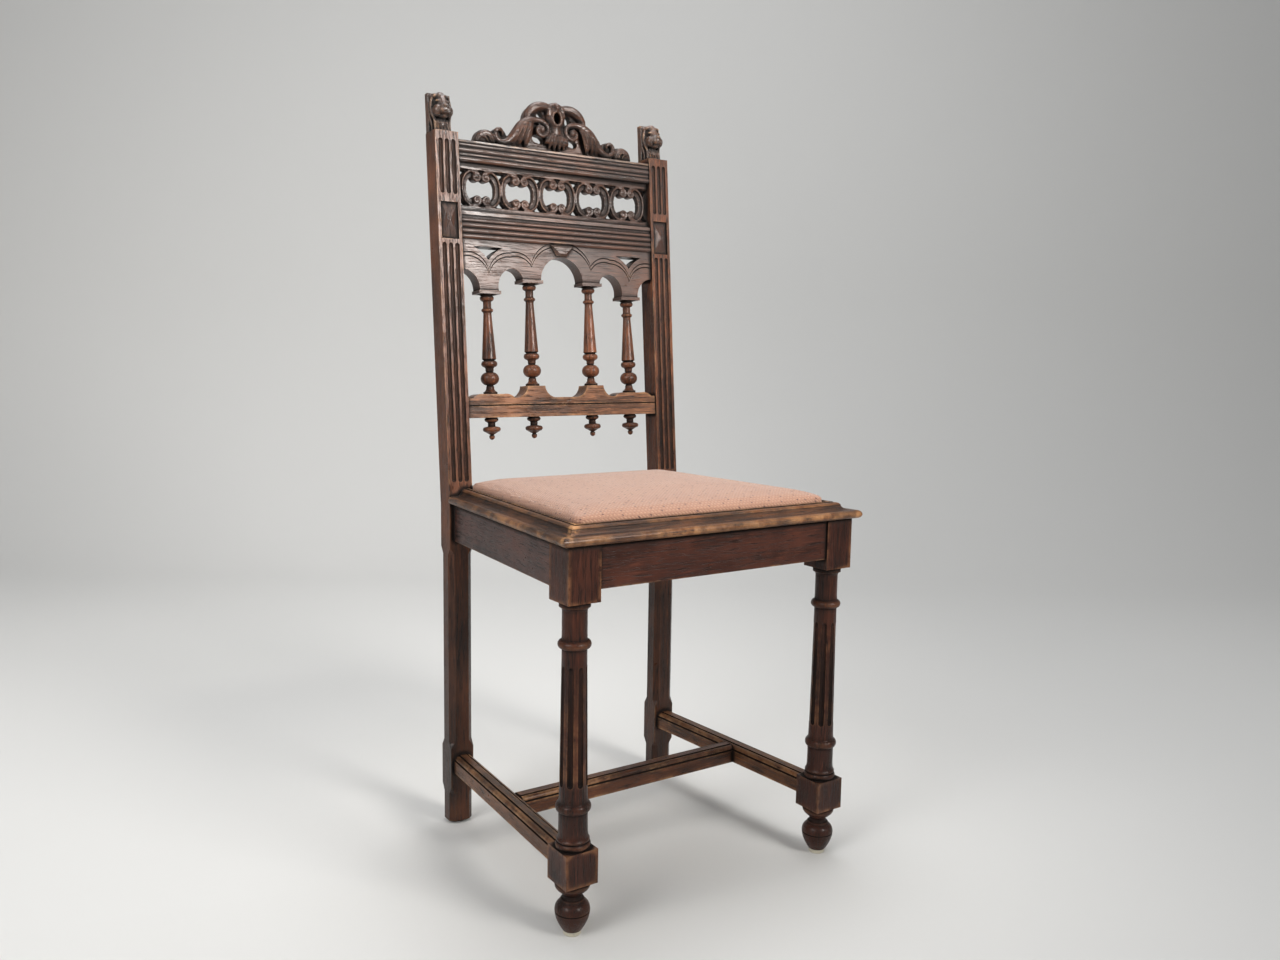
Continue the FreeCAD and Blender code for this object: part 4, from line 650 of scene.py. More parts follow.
def moulded_section():
    """The section as a closed loop of (across, level) in millimetres."""
    bead_x, bead_z = STRETCHER_HALF - BEAD_SET - BEAD, STRETCHER_HIGH - BEAD_SET - BEAD
    half = [(STRETCHER_HALF, STRETCHER_LOW), (STRETCHER_HALF, bead_z - QUIRK)]
    half += [(STRETCHER_HALF - SUNK, bead_z - QUIRK), (STRETCHER_HALF - SUNK, bead_z)]
    for k in range(BEAD_STEPS + 1):
        turn = math.radians(90 * k / BEAD_STEPS)
        half.append((bead_x + BEAD * math.cos(turn), bead_z + BEAD * math.sin(turn)))
    half += [(bead_x, STRETCHER_HIGH - SUNK), (bead_x - QUIRK, STRETCHER_HIGH - SUNK)]
    half.append((bead_x - QUIRK, STRETCHER_HIGH))
    return half + [(-x, z) for x, z in half[::-1]]


print("stretcher section:", len(moulded_section()), "points")


# %% Stretchers
TUCK = 0.001


def moulded_bar(name, node, finish, start, end):
    """Run the section between two plan points in metres, and let the bar stand for a solid."""
    section = moulded_section()
    way = (Vector(end) - Vector(start)).normalized()
    across = Vector((way.y, -way.x))
    points = []
    for tip in (start, end):
        for x, z in section:
            spot = Vector(tip) + across * x * MM
            points.append((spot.x, spot.y, z * MM))
    count = len(section)
    ends = [tuple(range(count))[::-1], tuple(range(count, 2 * count))]
    mesh = mesh_from(name, points, band_faces(2, count) + ends)
    bar = bmesh.new()
    bar.from_mesh(mesh)
    bmesh.ops.recalc_face_normals(bar, faces=bar.faces)
    bar.to_mesh(mesh)
    bar.free()
    piece = piece_from(mesh, name, oak_finish[finish], "frame")
    ease_edges(piece, FINE_EASE)
    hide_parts(node)


leg_low, leg_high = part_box("front_leg_right")
inner_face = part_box("stretcher_right")[0].x
front_end = Vector(((leg_low.x + leg_high.x) / 2, leg_high.y - TUCK))
rear_end = Vector((inner_face + STRETCHER_HALF * MM, POST_Y + TUCK))
for side, name in ((-1, "left"), (1, "right")):
    moulded_bar(
        f"moulded_stretcher_{name}", f"stretcher_{name}", "side_stretcher",
        (side * front_end.x, front_end.y), (side * rear_end.x, rear_end.y),
    )
bar_low, bar_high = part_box("stretcher_centre")
centre_y = (bar_low.y + bar_high.y) / 2
share = (centre_y - front_end.y) / (rear_end.y - front_end.y)
reach = front_end.lerp(rear_end, share).x - STRETCHER_HALF * MM + TUCK
moulded_bar(
    "moulded_stretcher_centre", "stretcher_centre", "centre_stretcher",
    (-reach, centre_y), (reach, centre_y),
)
print("three moulded stretchers")

# %% [markdown]
# ## The crest
# The crest is cut from one board: acanthus leaves sweep down on both sides of a hollow shell,
# each rolled at its inner end into a volute over a pierced gap, with a palmette below. The solid
# gives its outline, and the relief is carved here. The board is a thinned copy of the solid's own
# mesh, so the piercings and the silhouette stay where they are.

# %% Crest: the leaf scrolls
CREST_UP = 491.0
leaf = [
    (85, 9, 16, 1.8), (86, 8, 20.5, 2.4), (90.5, 7.5, 23, 3.0), (95.5, 8, 19.5, 3.4), (96, 8, 12, 3.8),
    (90, 8, 6, 4.2), (82, 8, 6, 4.8), (74, 8, 11, 5.6), (66, 7.5, 20, 6.6), (57, 7, 31, 7.0),
    (47, 6.5, 38.5, 6.2), (36, 6.5, 42, 4.8), (25, 6, 41.5, 4.2), (16.5, 5.5, 36.5, 3.8),
    (14.8, 5, 29.5, 3.4), (18.5, 4.5, 22.8, 3.2), (25.5, 4, 20.5, 3.0), (31.5, 4, 24, 2.7),
    (32.2, 4, 30, 2.5), (28, 4, 34, 2.4),
]
leaf_lobes = [
    [(40, 5.5, 40, 3.0), (46, 3.0, 28, 4.3), (50, 4.5, 13, 3.8), (50.5, 8, 2.5, 1.0)],
    [(45, 5.2, 39.5, 3.0), (53, 2.6, 27, 4.2), (58, 5.5, 14, 3.8), (60, 11.5, 6, 3.0)],
    [(50, 5.2, 37, 3.0), (59, 3.0, 26, 4.0), (65, 6, 15, 3.8), (68, 11.5, 7, 3.2)],
    [(55, 5.5, 34, 3.0), (64.5, 3.8, 24, 3.8), (71.5, 6.5, 14.5, 3.6), (76, 11.5, 8, 3.2)],
]
lobe_veins = [
    [(41, 2.6, 37, 0.7), (45.4, -1.2, 28, 0.9), (49.6, 0.8, 14, 0.8)],
    [(47, 2.6, 36, 0.7), (52.6, -1.4, 27, 0.9), (57.4, 1.2, 14, 0.8)],
    [(52, 2.8, 34, 0.7), (58.6, -0.9, 26, 0.9), (64.4, 1.6, 14.5, 0.8)],
]
tip_edge = [(37.6, 4.5, 38, 1.2), (41.6, 2.2, 27, 1.4), (45.4, 3, 14, 1.3), (49, 6.5, 4, 0.7)]
strap = [
    (8, 8, 61, 5.0), (18, 8.5, 63.5, 6.2), (29, 8.5, 62, 6.8), (38.5, 8.5, 56.5, 6.6),
    (45, 9, 48.5, 5.6), (45.5, 9, 41, 4.4),
]
strap_ridges = [
    [(across, behind - 0.8 * radius, high + shift, 1.3) for across, behind, high, radius in strap[:5]]
    for shift in (-2.6, 2.4)
]
end_roll = [
    (101, 9, 5, 3.6), (104, 8, 12.5, 4.2), (112, 8, 15.5, 4.4), (120.5, 8.5, 11, 4.4),
    (124, 9.5, 3.5, 3.8),
]
end_ribs = [
    [(105, 5, 4, 1.0), (108, 4, 10, 1.2), (114, 4.4, 12, 0.9)],
    [(110, 4, 3, 1.0), (113, 3.6, 8, 1.2), (118, 4.6, 9, 0.9)],
]
paths = (leaf, tip_edge, strap, end_roll, *strap_ridges, *leaf_lobes, *lobe_veins, *end_ribs)
print("crest:", len(paths), "paths on each side")


# %% Crest: adding the leaf scrolls
def raised(points):
    """Lift a path from the crest's own base line to its height on the chair back."""
    return [(across, behind, CREST_UP + high, radius) for across, behind, high, radius in points]


crest_mass = bmesh.new()
for path in paths:
    add_tube(crest_mass, raised(path))
    add_tube(crest_mass, raised(mirrored(path)))
for side in (-1, 1):
    add_ball(crest_mass, (side * 25, 3.0, CREST_UP + 29.5), (5.0, 4.0, 5.2))
    add_ball(crest_mass, (side * 113, 11, CREST_UP + 6), (12, 5.5, 8))
print(f"leaf scrolls: {len(crest_mass.verts)} points before fusing")

# %% Crest: shell, collar and palmette
def oval(centre_up, half_width, half_height, behind, radius, count=20):
    rows = []
    for k in range(count + 1):
        angle = 2 * math.pi * k / count
        up = CREST_UP + centre_up + half_height * math.cos(angle)
        rows.append((half_width * math.sin(angle), behind, up, radius))
    return rows


add_tube(crest_mass, oval(51, 11.5, 16, 9, 4.4))
add_tube(crest_mass, oval(49, 9.4, 13, 5.5, 2.8))
add_tube(crest_mass, oval(47.5, 7.4, 10, 2.6, 2.2))
add_tube(crest_mass, raised([(0, 2.4, 58.5, 2.4), (0, 2.2, 63, 3.8), (0, 5.5, 67.4, 3.4)]))
for side in (-1, 1):
    add_tube(crest_mass, raised([
        (side * 4, 7, 66.5, 3.4), (side * 9.5, 6, 62, 3.8), (side * 12, 6, 52, 3.4),
    ]))
for high, half_width, radius in ((32.5, 11.5, 2.1), (29, 13, 2.0), (25.6, 13.5, 1.9)):
    add_tube(crest_mass, raised([
        (-half_width, 8.5, high + 1.5, radius), (0, 4.2, high, radius),
        (half_width, 8.5, high + 1.5, radius),
    ]))
for tip_across, tip_up in ((-18.5, 11), (-12, 5.5), (-4.2, 2.5), (4.2, 2.5), (12, 5.5), (18.5, 11)):
    add_tube(crest_mass, raised([
        (tip_across * 0.45, 7.5, 24, 3.4), (tip_across * 0.8, 5.5, 15.5, 4.2), (tip_across, 8, tip_up, 1.2),
    ]))
    add_tube(crest_mass, raised([
        (tip_across * 0.45, 4.2, 23, 0.7), (tip_across * 0.82, 1.6, 14.5, 0.8),
        (tip_across, 6.5, tip_up + 1.5, 0.5),
    ]))
print("shell, collar and palmette added")

# %% Crest: the board behind, and fusing
CREST_FACE, CREST_THICK = 3.0, 20.0
BOARD_FACE, BOARD_THICK = 11.5, 11.5
board = nodes["crest"].data.copy()
board.transform(BACK_MM.inverted())
for vertex in board.vertices:
    across, behind, high = vertex.co
    set_back = BOARD_FACE + (behind - CREST_FACE) * BOARD_THICK / CREST_THICK
    vertex.co = (across, set_back, max(high, CREST_UP - 1.0))
crest_mass.from_mesh(board)
crest_skin = carve(crest_mass, "crest_carving", 1.0, 3, 0.6)
crest_carving = piece_from(crest_skin, "crest_carving", oak_finish["carved"], "frame")
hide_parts("crest")
print(f"crest: {len(crest_skin.polygons)} faces")

# %% [markdown]
# ## The beast heads
# Each post ends in a small lion-like head, cut from the square of the post: its top and back
# are still flat. Such a head could be sculpted by hand, but a list of balls and tubes can be read
# and adjusted. Each row below is one muscle or lock of hair, and two blocks make the flat back
# and the foot.

# %% Beast heads: muscles and locks
POST_X, POST_TOP = 173.0, 500.0
FACE = [
    ((0, 21, 37), (13, 9.5, 16)), ((0, 20, 49), (12.5, 9, 4.5)), ((0, 4.5, 28.5), (8.4, 8.5, 7.4)),
    ((0, -2.6, 32), (3.8, 2.6, 2.6)), ((0, 9, 20.3), (5.4, 6.5, 3.0)), ((0, 20, 11), (10.5, 9.5, 13)),
    ((0, 17, 1.5), (12, 11, 3.2)),
]
FOREHEAD = [(0, 17, 47, 7.5), (0, 11.5, 40, 7.0), (0, 7, 33, 6.0)]
PAIRED = [
    ((5.8, 8.6, 40), (4.8, 3.0, 2.2)), ((5.6, 8.0, 36.4), (2.3, 2.0, 1.9)),
    ((7.6, 9.5, 27.5), (6.6, 8.5, 8.2)), ((4.1, 0.4, 26.4), (4.1, 4.2, 4.4)),
    ((11.6, 19.5, 46), (2.8, 3.8, 4.4)), ((3.2, 12, 47.5), (3.4, 3.6, 3.2)),
    ((9, 14, 47.5), (3.2, 3.4, 3.0)),
]
LOCKS = [
    [(12, 16, 46, 1.8), (13.8, 16.5, 36, 2.3), (13, 15.5, 25, 2.3), (10.6, 13, 15, 1.9),
     (10.8, 12, 2, 1.6)],
    [(13, 21, 47, 1.8), (14.2, 21.5, 35, 2.3), (13.6, 20.5, 22, 2.4), (12, 18, 9, 2.0),
     (12.6, 17.5, 2, 1.6)],
    [(13.2, 26, 47, 1.8), (14.2, 26.5, 33, 2.2), (13.8, 26, 19, 2.2), (13, 24, 7, 2.0),
     (13.6, 24, 2, 1.6)],
    [(6.4, 12.5, 16, 1.7), (6.6, 12, 10, 1.9), (7.4, 8.6, 1.5, 1.6)],
    [(2.2, 12.5, 16, 1.7), (2.2, 12, 9, 1.9), (2.5, 8.2, 1.5, 1.6)],
]
BLOCKS = [((25.5, 26.5), (33, 8.4, 53)), ((18.5, 0.8), (28, 22, 1.8))]
print("each head:", len(FACE) + 2 * len(PAIRED), "balls and", 1 + 2 * len(LOCKS), "tubes")


# %% Beast heads: fusing
def beast_head(side, name):
    mass = bmesh.new()
    middle = side * POST_X
    for (across, behind, high), radii in FACE:
        add_ball(mass, (middle + across, behind, POST_TOP + high), radii)
    add_tube(mass, [(middle + x, w, POST_TOP + v, r) for x, w, v, r in FOREHEAD])
    for sign in (-1, 1):
        for (across, behind, high), radii in PAIRED:
            add_ball(mass, (middle + sign * across, behind, POST_TOP + high), radii)
        for lock in LOCKS:
            add_tube(mass, [(middle + sign * x, w, POST_TOP + v, r) for x, w, v, r in lock], sides=8)
    for (behind, high), size in BLOCKS:
        add_block(mass, (middle, behind, POST_TOP + high), size)
    skin = carve(mass, name, 0.7, 2, 0.7)
    head = piece_from(skin, name, oak_finish["head"], "frame")
    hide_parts(name.replace("beast_head", "finial"))
    return len(skin.polygons)


print("beast heads:", beast_head(-1, "beast_head_left"), beast_head(1, "beast_head_right"), "faces")

# %% [markdown]
# ## The pierced fret
# Below the top rail runs a fret of five motifs, each a pair of facing scrolls with rolled ends.
# The carver sawed the openings right through the board, then scooped the scrolls out between a
# thin outer rim and the opening. The solid has the openings. Here its board is set back, the two
# border strips stay at the face, and the rims and volutes stand up from the hollow.

# %% Fret rims and volutes
FRET_UP, FRET_PITCH, FRET_BORDER = 429.25, 60.0, 24.6
FRET_FACE, FRET_HOLLOW, FRET_HALF_LENGTH = 8.0, 12.0, 156.0
VOLUTE_X, VOLUTE_UP = 7.4, 15.6


def coil(middle_x, middle_up, start, turns, outer, inner, thick, thin, steps=16):
    """A flat spiral from the outside in; start is an angle in degrees, turns may be negative."""
    rows = []
    for k in range(steps + 1):
        share = k / steps
        angle = math.radians(start) + 2 * math.pi * turns * share
        reach = outer + (inner - outer) * share
        across, high = middle_x + reach * math.cos(angle), middle_up + reach * math.sin(angle)
        rows.append((across, FRET_FACE + 2.0 - share, high, thick + (thin - thick) * share))
    return rows


def fret_band(middle, sign):
    """One C: volute, rim round the outside, volute. sign is +1 for the right-hand C."""
    high = coil(VOLUTE_X, VOLUTE_UP, 70, 1.3, 6.6, 1.8, 2.3, 1.8)
    rim = FRET_FACE + 2.2
    side = [(15.5, rim, 23.2, 1.8), (22.6, rim, 19.3, 1.7), (27.2, rim, 11, 1.7), (28.6, rim, 0, 1.7)]
    half = high[::-1] + side
    whole = half + [(x, w, -v, r) for x, w, v, r in half[-2::-1]]
    return [(middle + sign * x, w, FRET_UP + v, r) for x, w, v, r in whole]


fret_mass = bmesh.new()
for motif in range(-2, 3):
    for sign in (-1, 1):
        add_tube(fret_mass, fret_band(motif * FRET_PITCH, sign), sides=8)
        for level in (-1, 1):
            eye = (motif * FRET_PITCH + sign * VOLUTE_X, FRET_FACE + 2.5, FRET_UP + level * VOLUTE_UP)
            add_ball(fret_mass, eye, (6.4, 2.0, 6.4))
            add_ball(fret_mass, eye, (2.2, 3.4, 2.2))
print(f"fret: {len(fret_mass.verts)} points before fusing")

# %% Fret board behind, and fusing
fret_board = nodes["fret_panel"].data.copy()
fret_board.transform(BACK_MM.inverted())
for vertex in fret_board.vertices:
    if vertex.co.y < FRET_FACE + 0.5:
        vertex.co.y = FRET_HOLLOW
levels = [vertex.co.z for vertex in fret_board.vertices]
fret_mass.from_mesh(fret_board)
STRIP_DEPTH = FRET_HOLLOW + 2.0 - FRET_FACE
for low, high in ((min(levels), FRET_UP - FRET_BORDER), (FRET_UP + FRET_BORDER, max(levels))):
    middle = (0, FRET_FACE + STRIP_DEPTH / 2, (low + high) / 2)
    add_block(fret_mass, middle, (2 * FRET_HALF_LENGTH, STRIP_DEPTH, high - low))
fret_skin = carve(fret_mass, "fret_carving", 0.8, 1, 0.6)
fret_carving = piece_from(fret_skin, "fret_carving", oak_finish["carved"], "frame")
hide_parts("fret_panel")
print(f"fret: {len(fret_skin.polygons)} faces")

# %% [markdown]
# ## Woven cloth
# The seat cover is a dusty pink furnishing cloth with a fine diagonal weave and scattered dark
# flecks. A node group makes any plain weave: two sets of threads cross, and where one is on top
# the other dips. Its colour, thread pitch and fleck are inputs, so webbing, hessian and felt use
# the same group with other values.

# %% Cloth node group: sockets and threads
cloth, cloth_in, cloth_out = new_group(
    "woven_cloth",
    [
        ("Thread", "NodeSocketColor", (0.455, 0.257, 0.170, 1)),
        ("Shade", "NodeSocketColor", (0.27, 0.125, 0.085, 1)),
        ("Fleck", "NodeSocketColor", (0.10, 0.05, 0.045, 1)),
        ("Pitch", "NodeSocketFloat", 0.0036),
        ("Turn", "NodeSocketFloat", math.radians(45)),
        ("Flecks", "NodeSocketFloat", 0.9),
    ],
    [("Color", "NodeSocketColor"), ("Roughness", "NodeSocketFloat"), ("Height", "NodeSocketFloat")],
)
spot = add_node(cloth, "ShaderNodeTexCoord").outputs["Object"]
turned = add_node(
    cloth, "ShaderNodeVectorRotate", {"rotation_type": "Z_AXIS"}, Vector=spot, Angle=cloth_in["Turn"],
).outputs[0]
axes = add_node(cloth, "ShaderNodeSeparateXYZ", Vector=turned).outputs
down_sides = math_node(cloth, "ADD", axes[1], axes[2])
waves = []
for along_axis in (axes[0], down_sides):
    count = math_node(cloth, "DIVIDE", along_axis, cloth_in["Pitch"])
    waves.append(math_node(cloth, "SINE", math_node(cloth, "MULTIPLY", count, math.pi)))
crossing = math_node(cloth, "MULTIPLY", waves[0], waves[1])
weave = math_node(cloth, "ABSOLUTE", crossing)
print("cloth threads:", len(cloth.nodes), "nodes")

# %% Cloth node group: colour, flecks and relief
cover_shade = ramp(cloth, crossing, -0.9, 0.9)
blotch = noise_node(cloth, spot, 38.0, 4.0)
slub = noise_node(cloth, spot, 420.0, 2.0)
spread = add_node(cloth, "ShaderNodeCombineXYZ", X=axes[0], Y=down_sides).outputs[0]
fleck_cell = add_node(
    cloth, "ShaderNodeTexVoronoi", {"voronoi_dimensions": "2D"}, Vector=spread, Scale=64.0, Randomness=0.75,
).outputs["Distance"]
fleck = ramp(cloth, fleck_cell, 0.11, 0.06)
under = math_node(cloth, "MULTIPLY", cover_shade, 0.6)
threads = mix_colour(cloth, under, cloth_in["Thread"], cloth_in["Shade"])
gaps = math_node(cloth, "MULTIPLY", ramp(cloth, weave, 0.35, 0.0), 0.45)
threads = mix_colour(cloth, gaps, threads, cloth_in["Shade"])
soiled = math_node(cloth, "MULTIPLY", ramp(cloth, blotch, 0.42, 0.72), 0.25)
threads = mix_colour(cloth, soiled, threads, cloth_in["Shade"])
flecked = math_node(cloth, "MULTIPLY", fleck, cloth_in["Flecks"])
threads = mix_colour(cloth, flecked, threads, cloth_in["Fleck"])
cloth.links.new(threads, cloth_out["Color"])
fuzz = math_node(cloth, "ADD", math_node(cloth, "MULTIPLY", slub, 0.15), 0.78)
cloth.links.new(fuzz, cloth_out["Roughness"])
raised_threads = math_node(cloth, "ADD", weave, math_node(cloth, "MULTIPLY", slub, 0.6))
cloth.links.new(raised_threads, cloth_out["Height"])
print("cloth group:", len(cloth.nodes), "nodes")

# %% Cloth finishes
cover_finish = new_material(
    "pink_cover", cloth, {}, bump_depth=0.0005, Sheen_Weight=0.25, Sheen_Roughness=0.5,
)
STRAIGHT, DIAGONAL = 0.0, math.radians(45)
CLOTH_ROWS = [
    # finish, thread, shade, fleck, pitch, turn, flecks, bump, sheen
    ("jute_webbing", (0.45, 0.34, 0.20), (0.27, 0.19, 0.10), (0.15, 0.10, 0.06),
     0.0024, STRAIGHT, 0.2, 0.0006, 0.0),
    ("hessian", (0.40, 0.29, 0.16), (0.18, 0.12, 0.06), (0.12, 0.08, 0.05),
     0.0019, STRAIGHT, 0.4, 0.0005, 0.0),
    ("white_felt", (0.74, 0.69, 0.56), (0.55, 0.50, 0.39), (0.35, 0.32, 0.28),
     0.0009, DIAGONAL, 0.3, 0.0004, 0.3),
    ("dark_felt", (0.05, 0.045, 0.04), (0.03, 0.027, 0.025), (0.11, 0.10, 0.09),
     0.0009, DIAGONAL, 0.3, 0.0004, 0.3),
]
cloth_finish = {}
for finish, thread, shade, speck, pitch, turned_by, flecks, depth, sheen in CLOTH_ROWS:
    cloth_finish[finish] = new_material(
        finish, cloth,
        {
            "Thread": (*thread, 1), "Shade": (*shade, 1), "Fleck": (*speck, 1),
            "Pitch": pitch, "Turn": turned_by, "Flecks": flecks,
        },
        bump_depth=depth, Sheen_Weight=sheen,
    )
print("cloth finishes: pink_cover,", ", ".join(cloth_finish))

# %% [markdown]
# ## The stuffed seat
# The drop-in seat is a frame with webbing, hessian, stuffing and a cover pulled tight over the
# edge. The solid has the stuffing and the band round it as two pieces, but the cover hides their
# join, so both are fused into one skin. Cloth simulation gives it its swell: its underside is
# pinned, and air pressure blows the top up a little. Each point's travel is capped, so the pad
# stays the size of the solid.

# %% Swelling by cloth simulation
PINNED_BAND = 0.003


def swollen(mesh, pressure, cap, frames=20):
    """Inflate a closed mesh as cloth, its flat underside pinned, and cap each point's travel."""
    holder = bpy.data.objects.new("swelling", mesh)
    bpy.context.scene.collection.objects.link(holder)
    start = np.array([vertex.co[:] for vertex in holder.data.vertices])
    pinned = holder.vertex_groups.new(name="pinned")
    underside = np.flatnonzero(start[:, 2] < start[:, 2].min() + PINNED_BAND)
    pinned.add([int(k) for k in underside], 1.0, "ADD")
    sim = holder.modifiers.new("cloth", "CLOTH")
    sim.settings.vertex_group_mass = "pinned"
    sim.settings.use_pressure = True
    sim.settings.uniform_pressure_force = pressure
    sim.settings.effector_weights.gravity = 0
    scene = bpy.context.scene
    for number in range(1, frames + 1):
        scene.frame_set(number)
    depsgraph = bpy.context.evaluated_depsgraph_get()
    made = bpy.data.meshes.new_from_object(holder.evaluated_get(depsgraph))
    end = np.array([vertex.co[:] for vertex in made.vertices])
    move = end - start
    length = np.linalg.norm(move, axis=1, keepdims=True)
    move *= np.minimum(1.0, cap / np.maximum(length, 1e-9))
    made.vertices.foreach_set("co", (start + move).ravel())
    bpy.data.objects.remove(holder)
    scene.frame_set(1)
    return made


# %% Seat cushion
PAD_VOXEL, PRESSURE, SWELL_CAP, FILL = 0.003, 1.0, 0.0012, 0.8
pad_mass = bmesh.new()
for name in ("seat_pad", "seat_welt"):
    pad_mass.from_mesh(nodes[name].data)
pad_shape = bpy.data.meshes.new("seat_cushion")
pad_mass.to_mesh(pad_shape)
pad_mass.free()
pad_skin = shaped(pad_shape, ("REMESH", {"mode": "VOXEL", "voxel_size": PAD_VOXEL}))
pad_skin = swollen(pad_skin, PRESSURE, SWELL_CAP)
pad_skin = shaped(pad_skin, ("SMOOTH", {"factor": 0.5, "iterations": 5}))
pad_skin.shade_smooth()
seat_cushion = piece_from(pad_skin, "seat_cushion", cover_finish, "drop_in_seat")
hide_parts("seat_pad", "seat_welt")
print(f"cushion: {len(pad_skin.vertices)} points")

# %% [markdown]
# ## The cover's skirt and what is under the seat
# Below the pad the cover goes down the frame's edges and is turned in underneath. It follows the
# seat's outline, so one helper draws that outline at any inset and another sweeps a profile
# round it.

# %% Outline of the seat
SEAT_FRONT, SEAT_REAR = -0.18744, 0.14156
FRAME_LOW, FRAME_TOP = 0.4554, 0.4724
TAPER, REAR_HALF, RAIL_INSET = 0.08199, 0.184, 0.0228
CORNER = 0.0025


def side_x(depth, inset):
    """Distance of the seat's side from the middle, at a depth, drawn in by an inset."""
    return REAR_HALF + TAPER * (POST_Y - depth) - (RAIL_INSET + inset) * math.hypot(1, TAPER)


def seat_outline(inset, steps=6):
    front, rear = SEAT_FRONT + inset, SEAT_REAR - inset
    made = []
    for sign, depth, way in ((-1, front, 1), (1, front, 1), (1, rear, -1), (-1, rear, -1)):
        tip = Vector((sign * side_x(depth, inset), depth))
        flat_end = Vector((sign * (side_x(depth, inset) - CORNER), depth))
        side_end = Vector((sign * side_x(depth + way * CORNER, inset), depth + way * CORNER))
        ends = (side_end, flat_end) if sign * way < 0 else (flat_end, side_end)
        for k in range(steps + 1):
            t = k / steps
            made.append(ends[0] * (1 - t) ** 2 + tip * 2 * t * (1 - t) + ends[1] * t ** 2)
    return made


def swept(profile):
    """A band round the seat whose section is rows of (inset, height)."""
    rings = [[(*point, high) for point in seat_outline(inset)] for inset, high in profile]
    points = [point for ring in rings for point in ring]
    return mesh_from("band", points, band_faces(len(rings), len(rings[0])))


# %% Skirt of the cover
skirt_profile = [
    (0.0040, FRAME_TOP + 0.0001), (0.0004, FRAME_TOP + 0.0001), (-0.0004, FRAME_TOP - 0.0006),
    (-0.0005, FRAME_TOP - 0.006), (-0.0005, FRAME_LOW + 0.004), (-0.0004, FRAME_LOW + 0.0003),
    (0.0004, FRAME_LOW - 0.0002), (0.009, FRAME_LOW - 0.0002), (0.018, FRAME_LOW - 0.0002),
]
skirt_mesh = swept(skirt_profile)
skirt_mesh.shade_smooth()
cover_skirt = piece_from(skirt_mesh, "cover_skirt", cover_finish, "drop_in_seat")

# %% [markdown]
# ## Webbing and hessian
# Under the stuffing, jute straps are woven over and under each other across the frame, with a
# sheet of hessian over them. The straps are strips of mesh whose height follows a smooth wave
# between the crossings, so they really interlace.

# %% Lie of the straps
STRAP, STRAP_THICK, STRAP_AMP, STRAP_RUN_OUT = 0.046, 0.0011, 0.0007, 0.04
WEB_INSET, WEB_MID = 0.014, FRAME_TOP + 0.0014
web_front, web_rear = SEAT_FRONT + WEB_INSET, SEAT_REAR - WEB_INSET
across_at = np.linspace(web_front + STRAP / 2, web_rear - STRAP / 2, 5)
half_spread = side_x(web_rear, WEB_INSET) - STRAP / 2
along_at = np.linspace(-half_spread, half_spread, 4)


def strap_wave(position, crossings, first_sign):
    """Height of a strap: up and down by turns at its crossings, down on the frame at its ends."""
    signs = [first_sign * (-1) ** k for k in range(len(crossings))]
    knots = [crossings[0] - STRAP_RUN_OUT, *crossings, crossings[-1] + STRAP_RUN_OUT]
    place = np.interp(position, knots, range(len(knots)))
    heights = [-1, *signs, -1]
    low = min(int(place), len(knots) - 2)
    t = (1 - math.cos(math.pi * (place - low))) / 2
    return WEB_MID + STRAP_AMP * (heights[low] + (heights[low + 1] - heights[low]) * t)


# %% Interlaced webbing
strap_points, strap_faces = [], []


def add_strap(corner_of, crossings, first_sign, length_steps=60, width_steps=4):
    base = len(strap_points)
    for i in range(length_steps + 1):
        for j in range(width_steps + 1):
            x, y, run = corner_of(i / length_steps, j / width_steps)
            strap_points.append((x, y, strap_wave(run, crossings, first_sign)))
    row = width_steps + 1
    for i in range(length_steps):
        for j in range(width_steps):
            k = base + i * row + j
            strap_faces.append((k, k + row, k + row + 1, k + 1))


for k, middle_y in enumerate(across_at):
    def across_corner(s, t, middle_y=middle_y):
        y = middle_y + STRAP * (t - 0.5)
        x = side_x(y, WEB_INSET) * (2 * s - 1)
        return x, y, x
    add_strap(across_corner, along_at, (-1) ** k)
for k, middle_x in enumerate(along_at):
    def along_corner(s, t, middle_x=middle_x):
        y = web_front + (web_rear - web_front) * s
        return middle_x + STRAP * (t - 0.5), y, y
    add_strap(along_corner, across_at, -((-1) ** k))
web_mesh = mesh_from("webbing", strap_points, strap_faces)
web_mesh = shaped(web_mesh, ("SOLIDIFY", {"thickness": STRAP_THICK, "offset": 0.0}))
web_mesh.shade_smooth()
webbing = piece_from(
    web_mesh, "webbing", cloth_finish["jute_webbing"], "drop_in_seat",
)
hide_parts("webbing_across", "webbing_along")

# %% Hessian
GRID, HESSIAN_INSET, RIPPLE, RIPPLE_SCALE = 48, 0.009, 0.0002, 30
hessian_low = FRAME_TOP + 0.0031
sheet_front, sheet_rear = SEAT_FRONT + HESSIAN_INSET, SEAT_REAR - HESSIAN_INSET
grid_points, grid_faces = [], []
for i in range(GRID + 1):
    y = sheet_front + (sheet_rear - sheet_front) * i / GRID
    for j in range(GRID + 1):
        x = side_x(y, HESSIAN_INSET) * (2 * j / GRID - 1)
        ripple = noise.noise(Vector((x * RIPPLE_SCALE, y * RIPPLE_SCALE, 2.0)))
        grid_points.append((x, y, hessian_low + RIPPLE * ripple))
for i in range(GRID):
    for j in range(GRID):
        k = i * (GRID + 1) + j
        grid_faces.append((k, k + 1, k + GRID + 2, k + GRID + 1))
hessian_mesh = mesh_from("hessian_sheet", grid_points, grid_faces)
hessian_mesh.shade_smooth()
hessian_sheet = piece_from(
    hessian_mesh, "hessian_sheet", cloth_finish["hessian"], "drop_in_seat",
)
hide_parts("hessian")

# %% [markdown]
# ## Felt under the feet
# Felt pads are stuck under the feet, white in front and dark behind. A felt pad is a disc with a
# soft, slightly ragged rim, so each is turned from a rounded profile and then roughened by noise.

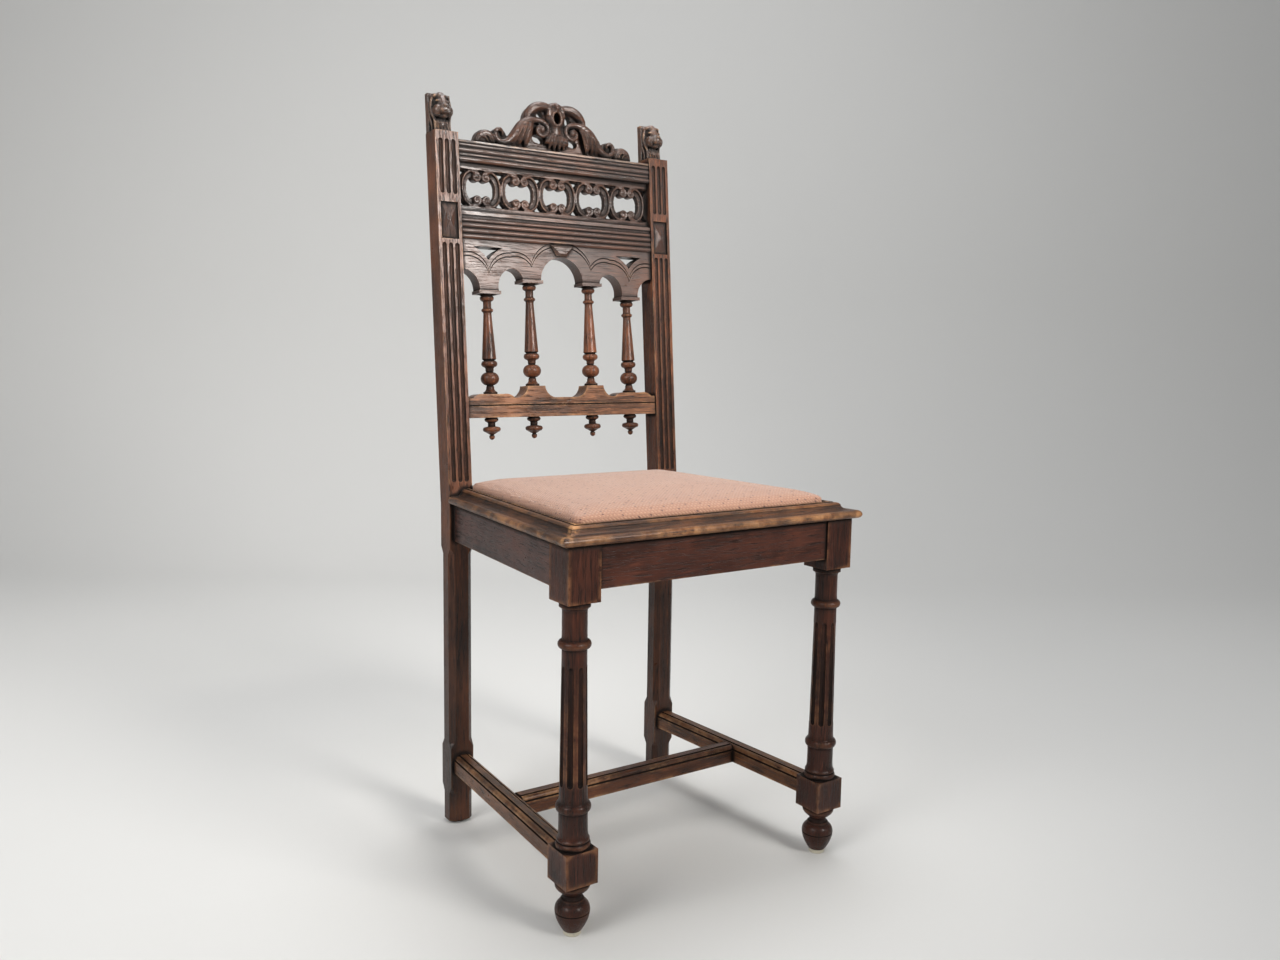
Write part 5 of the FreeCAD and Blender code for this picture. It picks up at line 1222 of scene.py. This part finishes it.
# %% Felt pads
FELT_SECTION = [
    # share of the radius, share of the thickness
    (0.55, 0.0), (0.9, 0.02), (0.985, 0.16), (1.0, 0.5), (0.98, 0.86), (0.9, 1.0),
]
RAGGED, REAR_FELT = 0.035, 0.004


def felt_pad(node, finish, thick, count=40):
    low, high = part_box(node)
    centre = (low + high) / 2
    radius = (high.x - low.x) / 2
    points = []
    for share, rise in FELT_SECTION:
        middle = Vector((centre.x, centre.y, low.z + thick * rise))
        for k in range(count):
            angle = 2 * math.pi * k / count
            way = Vector((math.cos(angle), math.sin(angle), 0))
            drawn = noise.noise(way * 6 + Vector((centre.x * 40, centre.y * 40, rise * 3)))
            points.append(middle + way * radius * share * (1 - RAGGED * abs(drawn)))
    faces = band_faces(len(FELT_SECTION), count)
    faces.append(list(range(count))[::-1])
    faces.append([len(points) - count + k for k in range(count)])
    mesh = mesh_from(node, points, faces)
    mesh.shade_smooth()
    pad_name = node.replace("felt", "felt_pad")
    piece = piece_from(mesh, pad_name, cloth_finish[finish], "frame")
    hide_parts(node)


for side in ("left", "right"):
    felt_pad(f"felt_front_{side}", "white_felt", FOOT_ROWS[0][1] * MM)
    felt_pad(f"felt_rear_{side}", "dark_felt", REAR_FELT)
print("four felt pads")

# %% [markdown]
# ## Floor and backdrop
# A sheet of pale studio paper runs under the chair and curves up behind it, so there is no hard
# horizon.

# %% Studio paper
PAPER_FRONT, PAPER_BACK, PAPER_BEND, PAPER_TOP, PAPER_HALF = -6.0, 1.6, 0.9, 5.0, 7.0
paper_profile = [(PAPER_FRONT, 0.0), (PAPER_BACK, 0.0)]
for degrees in range(6, 91, 6):
    angle = math.radians(degrees)
    paper_profile.append(
        (PAPER_BACK + PAPER_BEND * math.sin(angle), PAPER_BEND - PAPER_BEND * math.cos(angle)),
    )
paper_profile.append((PAPER_BACK + PAPER_BEND, PAPER_TOP))
paper_turn = Matrix.Rotation(yaw, 3, "Z")
paper_points = [
    paper_turn @ Vector((x, depth, high))
    for depth, high in paper_profile for x in (-PAPER_HALF, PAPER_HALF)
]
paper_faces = [(k, k + 1, k + 3, k + 2) for k in range(0, len(paper_points) - 2, 2)]
paper_mesh = mesh_from("studio_paper", paper_points, paper_faces)
paper_mesh.shade_smooth()
studio_paper = bpy.data.objects.new("studio_paper", paper_mesh)
bpy.context.scene.collection.objects.link(studio_paper)
paper_finish = bpy.data.materials.new("studio_paper")
paper_finish.use_nodes = True
paper_shader = paper_finish.node_tree.nodes["Principled BSDF"]
paper_shader.inputs["Base Color"].default_value = (0.72, 0.72, 0.71, 1)
paper_shader.inputs["Roughness"].default_value = 0.9
paper_mesh.materials.append(paper_finish)
print("paper:", len(paper_faces), "strips")
